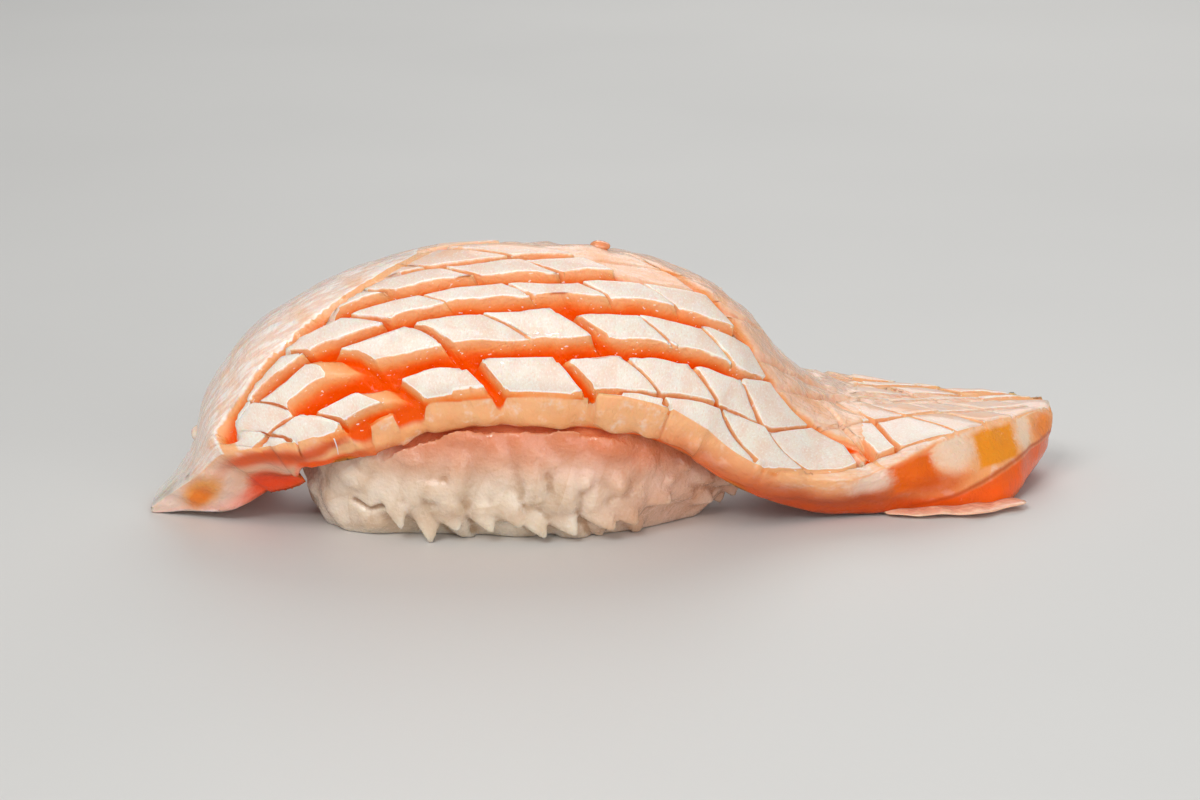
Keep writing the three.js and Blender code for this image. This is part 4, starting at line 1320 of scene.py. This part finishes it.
def rice_material(look):
    paint = Paint("pressed rice")
    flat = paint.attribute("flat", "Vector")
    cavity = paint.attribute("cavity")
    tint = paint.attribute("tint")
    cloud = paint.noise(flat, 0.45, 3.0, 0.6)
    fine = paint.noise(flat, 3.0, 3.0, 0.6)
    slanted = paint.node("ShaderNodeVectorRotate", {"rotation_type": "Y_AXIS"}, {0: flat, 3: -0.6})
    shade, reach = paint.cells(paint.scaled(slanted, (1.6, 1.6, 0.9)), 0.22)
    grain_shade = paint.parts(shade)[0]
    colour = paint.mix(look.rice, look.rice_bright, (cloud.step(0.4, 0.65) * 0.5) + grain_shade * 0.6)
    # Painted shade between the grains, darker towards each grain cell's edge, over some grains that are
    # darker at random.
    colour = paint.mix(colour, look.rice_dark_grain_and_shade, (reach.step(0.35, 0.75) * 0.35) + (1 - grain_shade) * 0.15)
    # Painted shade in the hollows of the block, from its cavity value.
    colour = paint.mix(colour, look.rice_dark_grain_and_shade, cavity.step(0.05, 0.5) * 0.75)
    # Painted reflected light and painted shade: the salmon's orange light on the rice top under the slice,
    # and shade at the block's right end.
    colour = paint.mix(colour, look.rice_reflection_and_shade, tint)
    wet = paint.noise(flat, 1.3, 2.0, 0.6)
    bump = paint.relief(fine * 0.6 + wet * 1.2, 0.2 * MM, 0.9)
    return paint.surface(
        Base_Color=colour, Roughness=0.26 + 0.2 * (fine - 0.5), Normal=bump, IOR=1.38,
        Subsurface_Weight=0.7, Subsurface_Radius=RICE_SCATTER, Subsurface_Scale=2.0 * MM,
        Coat_Weight=0.6, Coat_Roughness=0.06,
    )


def floor_material(look):
    paint = Paint("bare floor")
    place = paint.node("ShaderNodeTexCoord", {}, {}, output="Object")
    cloud = paint.noise(place, 6.0, 3.0)
    grain = paint.noise(place, 900.0, 2.0)
    colour = paint.mix(look.floor, tuple(0.93 * v for v in look.floor), cloud.step(0.3, 0.8))
    return paint.surface(Base_Color=colour, Roughness=0.55, Normal=paint.relief(grain, 0.05 * MM, 0.4))


# ---------------------------------------------------------------- settings a user would change


def length(name, description, default_mm):
    return bpy.props.FloatProperty(name=name, description=description, default=default_mm * MM, min=0.0,
                                   precision=5, unit="LENGTH")


def colour_setting(name, description, shade):
    return bpy.props.FloatVectorProperty(name=name, description=description, default=srgb(*shade), size=3,
                                         min=0.0, max=1.0, subtype="COLOR")


def count(name, description, default, least):
    return bpy.props.IntProperty(name=name, description=description, default=default, min=least)


def power(name, description, default):
    return bpy.props.FloatProperty(name=name, description=description, default=default, min=0.0, unit="POWER")


class NIGIRI_PG_slice(bpy.types.PropertyGroup):
    facet_tilt: length("Facet tilt", "How far a facet's edge lifts or sinks with its own tilt", 0.14)
    facet_dome: length("Facet dome", "How far the middle of a facet stands up", 0.1)
    pillow: length("Pillow", "How far the side swells between two cuts", 0.35)
    facet_steps_along: count("Steps along", "Mesh steps on a facet along the slice", 8, 2)
    facet_steps_across: count("Steps across", "Mesh steps on a facet across the slice", 6, 2)
    edge_points: count("Edge points", "Mesh points along each long edge", 330, 40)
    wall_rings: count("Side rings", "Mesh rings down the cut side", 16, 4)


class NIGIRI_PG_rice(bpy.types.PropertyGroup):
    grain_length: length("Grain length", "Length of a cooked grain", 6.4)
    grain_width: length("Grain width", "Width of a cooked grain", 2.9)
    grain_count: count("Grains", "Grains spread over the block", 360, 10)
    rice_voxel: length("Fineness", "Cell size used to press the grains together", 0.26)
    rice_soften: count("Softening", "Rounds of smoothing", 2, 0)
    rice_press: count("Pressing", "Rounds of smoothing where the block is pressed", 3, 0)


class NIGIRI_PG_look(bpy.types.PropertyGroup):
    skin: colour_setting("Skin", "Silvery skin on the facets", (237, 227, 214))
    skin_dim: colour_setting("Dim skin", "Its duller patches", (234, 194, 170))
    # White of the skin and of the tissue thread, also used for painted highlights: the skin's sparkle and
    # rims, the ridge at the unscored end, and the glints on the flesh.
    skin_white_and_highlight: colour_setting("Bright skin", "Its shining grain and rims", (255, 250, 243))
    flesh_pale: colour_setting("Pale flesh", "Flesh just under the skin", (248, 184, 132))
    flesh_mid: colour_setting("Flesh", "Flesh on the walls of the cuts", (244, 148, 72))
    flesh_deep: colour_setting("Deep flesh", "Flesh at the bottom of the cuts", (234, 84, 0))
    belly: colour_setting("Belly", "The unscored left end", (244, 208, 188))
    belly_streak: colour_setting("Belly streak", "Pale streaks in it", (254, 238, 227))
    rice: colour_setting("Rice", "Cooked rice", (228, 206, 182))
    rice_bright: colour_setting("Bright rice", "Its paler grains", (238, 222, 204))
    # This colour is painted shade between the grains and in hollows, and also the tone of the darker grains.
    rice_dark_grain_and_shade: colour_setting("Rice shade", "Between the grains", (186, 148, 112))
    # This colour is painted light and shade, not a stain: the salmon's orange light reflected onto the rice,
    # and shade at the block's right end.
    rice_reflection_and_shade: colour_setting("Rice tint", "Rice stained by the salmon", (220, 126, 78))
    membrane: colour_setting("Membrane", "Clear membrane under the tail", (236, 176, 148))
    crumb: colour_setting("Crumb", "Small crumbs of flesh", (226, 146, 100))
    floor: colour_setting("Floor", "Pale floor", (214, 212, 208))


class NIGIRI_PG_stage(bpy.types.PropertyGroup):
    elevation: bpy.props.FloatProperty(
        name="Elevation", description="Camera above the table", default=math.radians(15), subtype="ANGLE")
    distance: length("Distance", "Camera to the middle of the nigiri", 350)
    target_height: length("Target height", "Height the camera looks at", 12)
    frame_width: length("Frame width", "Width of the view at the nigiri", 1200 / 9.5)
    key: power("Key", "Power of the key light", 1.6)
    fill: power("Fill", "Power of the fill light", 1.35)
    glint: power("Glint", "Power of the small light that gives the wet glints", 0.22)
    back: power("Back", "Power of the back light", 0.9)


# Place of each light and the size of its face, in metres.
LIGHTS = {
    "key": ((-0.22, -0.36, 0.46), 0.30),
    "fill": ((0.20, -0.52, 0.14), 0.44),
    "glint": ((-0.10, -0.42, 0.34), 0.03),
    "back": ((0.10, 0.42, 0.36), 0.36),
}
AIR_COLOUR, AIR_STRENGTH = (0.86, 0.88, 0.9, 1.0), 0.42
FLOOR_HALF, FLOOR_DROP = 1.2, 0.00005  # the floor lies a hair below the table plane
SENSOR_WIDTH = 36.0


GROUPS = {
    "nigiri_slice": NIGIRI_PG_slice,
    "nigiri_rice": NIGIRI_PG_rice,
    "nigiri_look": NIGIRI_PG_look,
    "nigiri_stage": NIGIRI_PG_stage,
}


# ---------------------------------------------------------------- operators


class NIGIRI_OT_salmon(bpy.types.Operator):
    """Build the scored salmon slice"""
    bl_idname = "nigiri.salmon"
    bl_label = "Salmon slice"

    def execute(self, context):
        sizes, look = context.scene.nigiri_slice, context.scene.nigiri_look
        values, faces = slice_mesh(sizes)
        points = bend(values["s"], values["t"], values["w"])
        flesh = smooth(-values["edge"], 0.0, 0.5) * smooth(values["side"], 1.5, 1.0)
        soft = waves(points, 6.0, 51) * 0.1 + waves(points, 2.2, 52) * 0.035
        soft = soft + waves(points, 2.8, 53) * 0.15 * flesh
        normals = vertex_normals(points, faces)
        points = points + normals * soft[:, None]
        points[:, 2] = np.maximum(points[:, 2], 0.02)
        flat = np.stack([values["s"], values["t"] * FLAT_HALF, values["w"]], axis=1)
        part = np.clip(values["w"] / thickness(np.clip(values["s"], 0, LENGTH), values["t"]), 0, 1)
        carried = {key: values[key] for key in ("edge", "side", "round", "film")}
        piece = mesh_object("salmon_slice", points, faces, {"flat": flat, "part": part, **carried})
        piece.data.materials.append(salmon_material(look))
        declare(piece, "salmon", "salmon")
        return {"FINISHED"}


class NIGIRI_OT_membrane(bpy.types.Operator):
    """Build the clear membrane along the tail's lower edge"""
    bl_idname = "nigiri.membrane"
    bl_label = "Tail membrane"

    def execute(self, context):
        look = context.scene.nigiri_look
        points, faces = membrane_mesh(context.scene.nigiri_slice)
        points[:, 2] = np.maximum(points[:, 2], 0.03)
        piece = mesh_object("tail_membrane", points, faces)
        piece.data.materials.append(scrap_material("wet membrane", look.membrane))
        declare(piece, "salmon")
        return {"FINISHED"}


class NIGIRI_OT_scraps(bpy.types.Operator):
    """Add the thread of tissue and the small crumbs of flesh"""
    bl_idname = "nigiri.scraps"
    bl_label = "Thread and crumbs"

    def execute(self, context):
        look = context.scene.nigiri_look
        thread = mesh_object("skin_thread", *thread_mesh())
        thread.data.materials.append(scrap_material("white tissue", look.skin_white_and_highlight))
        declare(thread, "salmon")
        shades = {"crest_crumb": look.crumb, "foot_crumb": look.belly}
        for name, place in CRUMBS.items():
            crumb = mesh_object(name, *crumb_mesh(*place))
            crumb.data.materials.append(scrap_material(name.replace("_", " "), shades[name]))
            declare(crumb, "salmon")
        return {"FINISHED"}


class NIGIRI_OT_rice(bpy.types.Operator):
    """Build the pressed block of rice"""
    bl_idname = "nigiri.rice"
    bl_label = "Rice block"

    def execute(self, context):
        sizes, look = context.scene.nigiri_rice, context.scene.nigiri_look
        points, faces = rice_surface(sizes)
        calm = 0.85 * pressed(points)[:, None]
        for _ in range(sizes.rice_press):
            points = points + calm * (neighbour_mean(points, faces, len(points)) - points)
        points = points - vertex_normals(points, faces) * fold(points)[:, None]
        points[:, 2] = np.maximum(points[:, 2], 0.01)
        normals = vertex_normals(points, faces)
        # How far each point lies in a hollow, which the rice paint uses for painted shade.
        mean = points
        for _ in range(3):
            mean = neighbour_mean(mean, faces, len(points))
        cavity = ((mean - points) * normals).sum(axis=1)
        for _ in range(2):
            cavity = neighbour_mean(cavity, faces, len(points))
        # Mask for the painted reflection of the salmon's light on the upper rice, and for painted shade
        # towards the block's right end.
        height = smooth(points[:, 2], 5.0, 11.5) * smooth(points[:, 0], -28.0, -18.0)
        right = smooth(points[:, 0], -6.0, 9.0)
        tint = np.clip(0.85 * height + 0.45 * right, 0, 0.9)
        piece = mesh_object("rice_block", points, faces, {
            "flat": points, "cavity": np.clip(cavity * 8, -1, 1), "tint": tint,
        })
        piece.data.materials.append(rice_material(look))
        declare(piece, "rice", "rice")
        return {"FINISHED"}


class NIGIRI_OT_stage(bpy.types.Operator):
    """Set the floor, the soft lights and the camera"""
    bl_idname = "nigiri.stage"
    bl_label = "Stage"

    def execute(self, context):
        stage, look = context.scene.nigiri_stage, context.scene.nigiri_look
        target = Vector((-ORIGIN[0] * MM, -ORIGIN[1] * MM, stage.target_height))
        self.floor(look)
        self.camera(context.scene, stage, target)
        for name, (place, size) in LIGHTS.items():
            self.light(name, place, size, getattr(stage, name), target)
        world = bpy.data.worlds.new("studio")
        world.use_nodes = True
        backdrop = world.node_tree.nodes["Background"]
        backdrop.inputs["Color"].default_value = AIR_COLOUR
        backdrop.inputs["Strength"].default_value = AIR_STRENGTH
        context.scene.world = world
        context.scene.view_settings.view_transform = "Standard"
        return {"FINISHED"}

    def floor(self, look):
        corners = [(x * FLOOR_HALF, y * FLOOR_HALF, 0) for x, y in ((-1, -1), (1, -1), (1, 1), (-1, 1))]
        mesh = bpy.data.meshes.new("floor")
        mesh.from_pydata(corners, [], [(0, 1, 2, 3)])
        floor = bpy.data.objects.new("floor", mesh)
        floor.location.z = -FLOOR_DROP
        bpy.context.scene.collection.objects.link(floor)
        mesh.materials.append(floor_material(look))

    def camera(self, scene, stage, target):
        data = bpy.data.cameras.new("view")
        data.sensor_width = SENSOR_WIDTH
        data.lens = SENSOR_WIDTH * stage.distance / stage.frame_width
        data.clip_start = 0.01
        camera = bpy.data.objects.new("view", data)
        back = Vector((0, -math.cos(stage.elevation), math.sin(stage.elevation)))
        camera.location = target + back * stage.distance
        camera.rotation_euler = (-back).to_track_quat("-Z", "Y").to_euler()
        scene.collection.objects.link(camera)
        scene.camera = camera

    def light(self, name, place, size, power, target):
        data = bpy.data.lights.new(name, "AREA")
        data.size = size
        data.energy = power
        lamp = bpy.data.objects.new(name, data)
        lamp.location = Vector(place)
        lamp.rotation_euler = (target - lamp.location).to_track_quat("-Z", "Y").to_euler()
        bpy.context.scene.collection.objects.link(lamp)


class NIGIRI_PT_panel(bpy.types.Panel):
    """Lists the pieces of the nigiri"""
    bl_idname = "NIGIRI_PT_panel"
    bl_label = "Nigiri"
    bl_space_type = "VIEW_3D"
    bl_region_type = "UI"
    bl_category = "Nigiri"

    def draw(self, context):
        for operator in OPERATORS:
            self.layout.operator(operator.bl_idname)


OPERATORS = (NIGIRI_OT_salmon, NIGIRI_OT_membrane, NIGIRI_OT_scraps, NIGIRI_OT_rice, NIGIRI_OT_stage)


def register():
    for name, group in GROUPS.items():
        bpy.utils.register_class(group)
        setattr(bpy.types.Scene, name, bpy.props.PointerProperty(type=group))
    for cls in (*OPERATORS, NIGIRI_PT_panel):
        bpy.utils.register_class(cls)


def unregister():
    for cls in reversed((*OPERATORS, NIGIRI_PT_panel)):
        bpy.utils.unregister_class(cls)
    for name, group in reversed(GROUPS.items()):
        delattr(bpy.types.Scene, name)
        bpy.utils.unregister_class(group)


def main():
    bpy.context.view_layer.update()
    register()
    bpy.ops.nigiri.salmon()
    bpy.ops.nigiri.membrane()
    bpy.ops.nigiri.scraps()
    bpy.ops.nigiri.rice()
    bpy.ops.nigiri.stage()


if __name__ == "__main__":
    main()
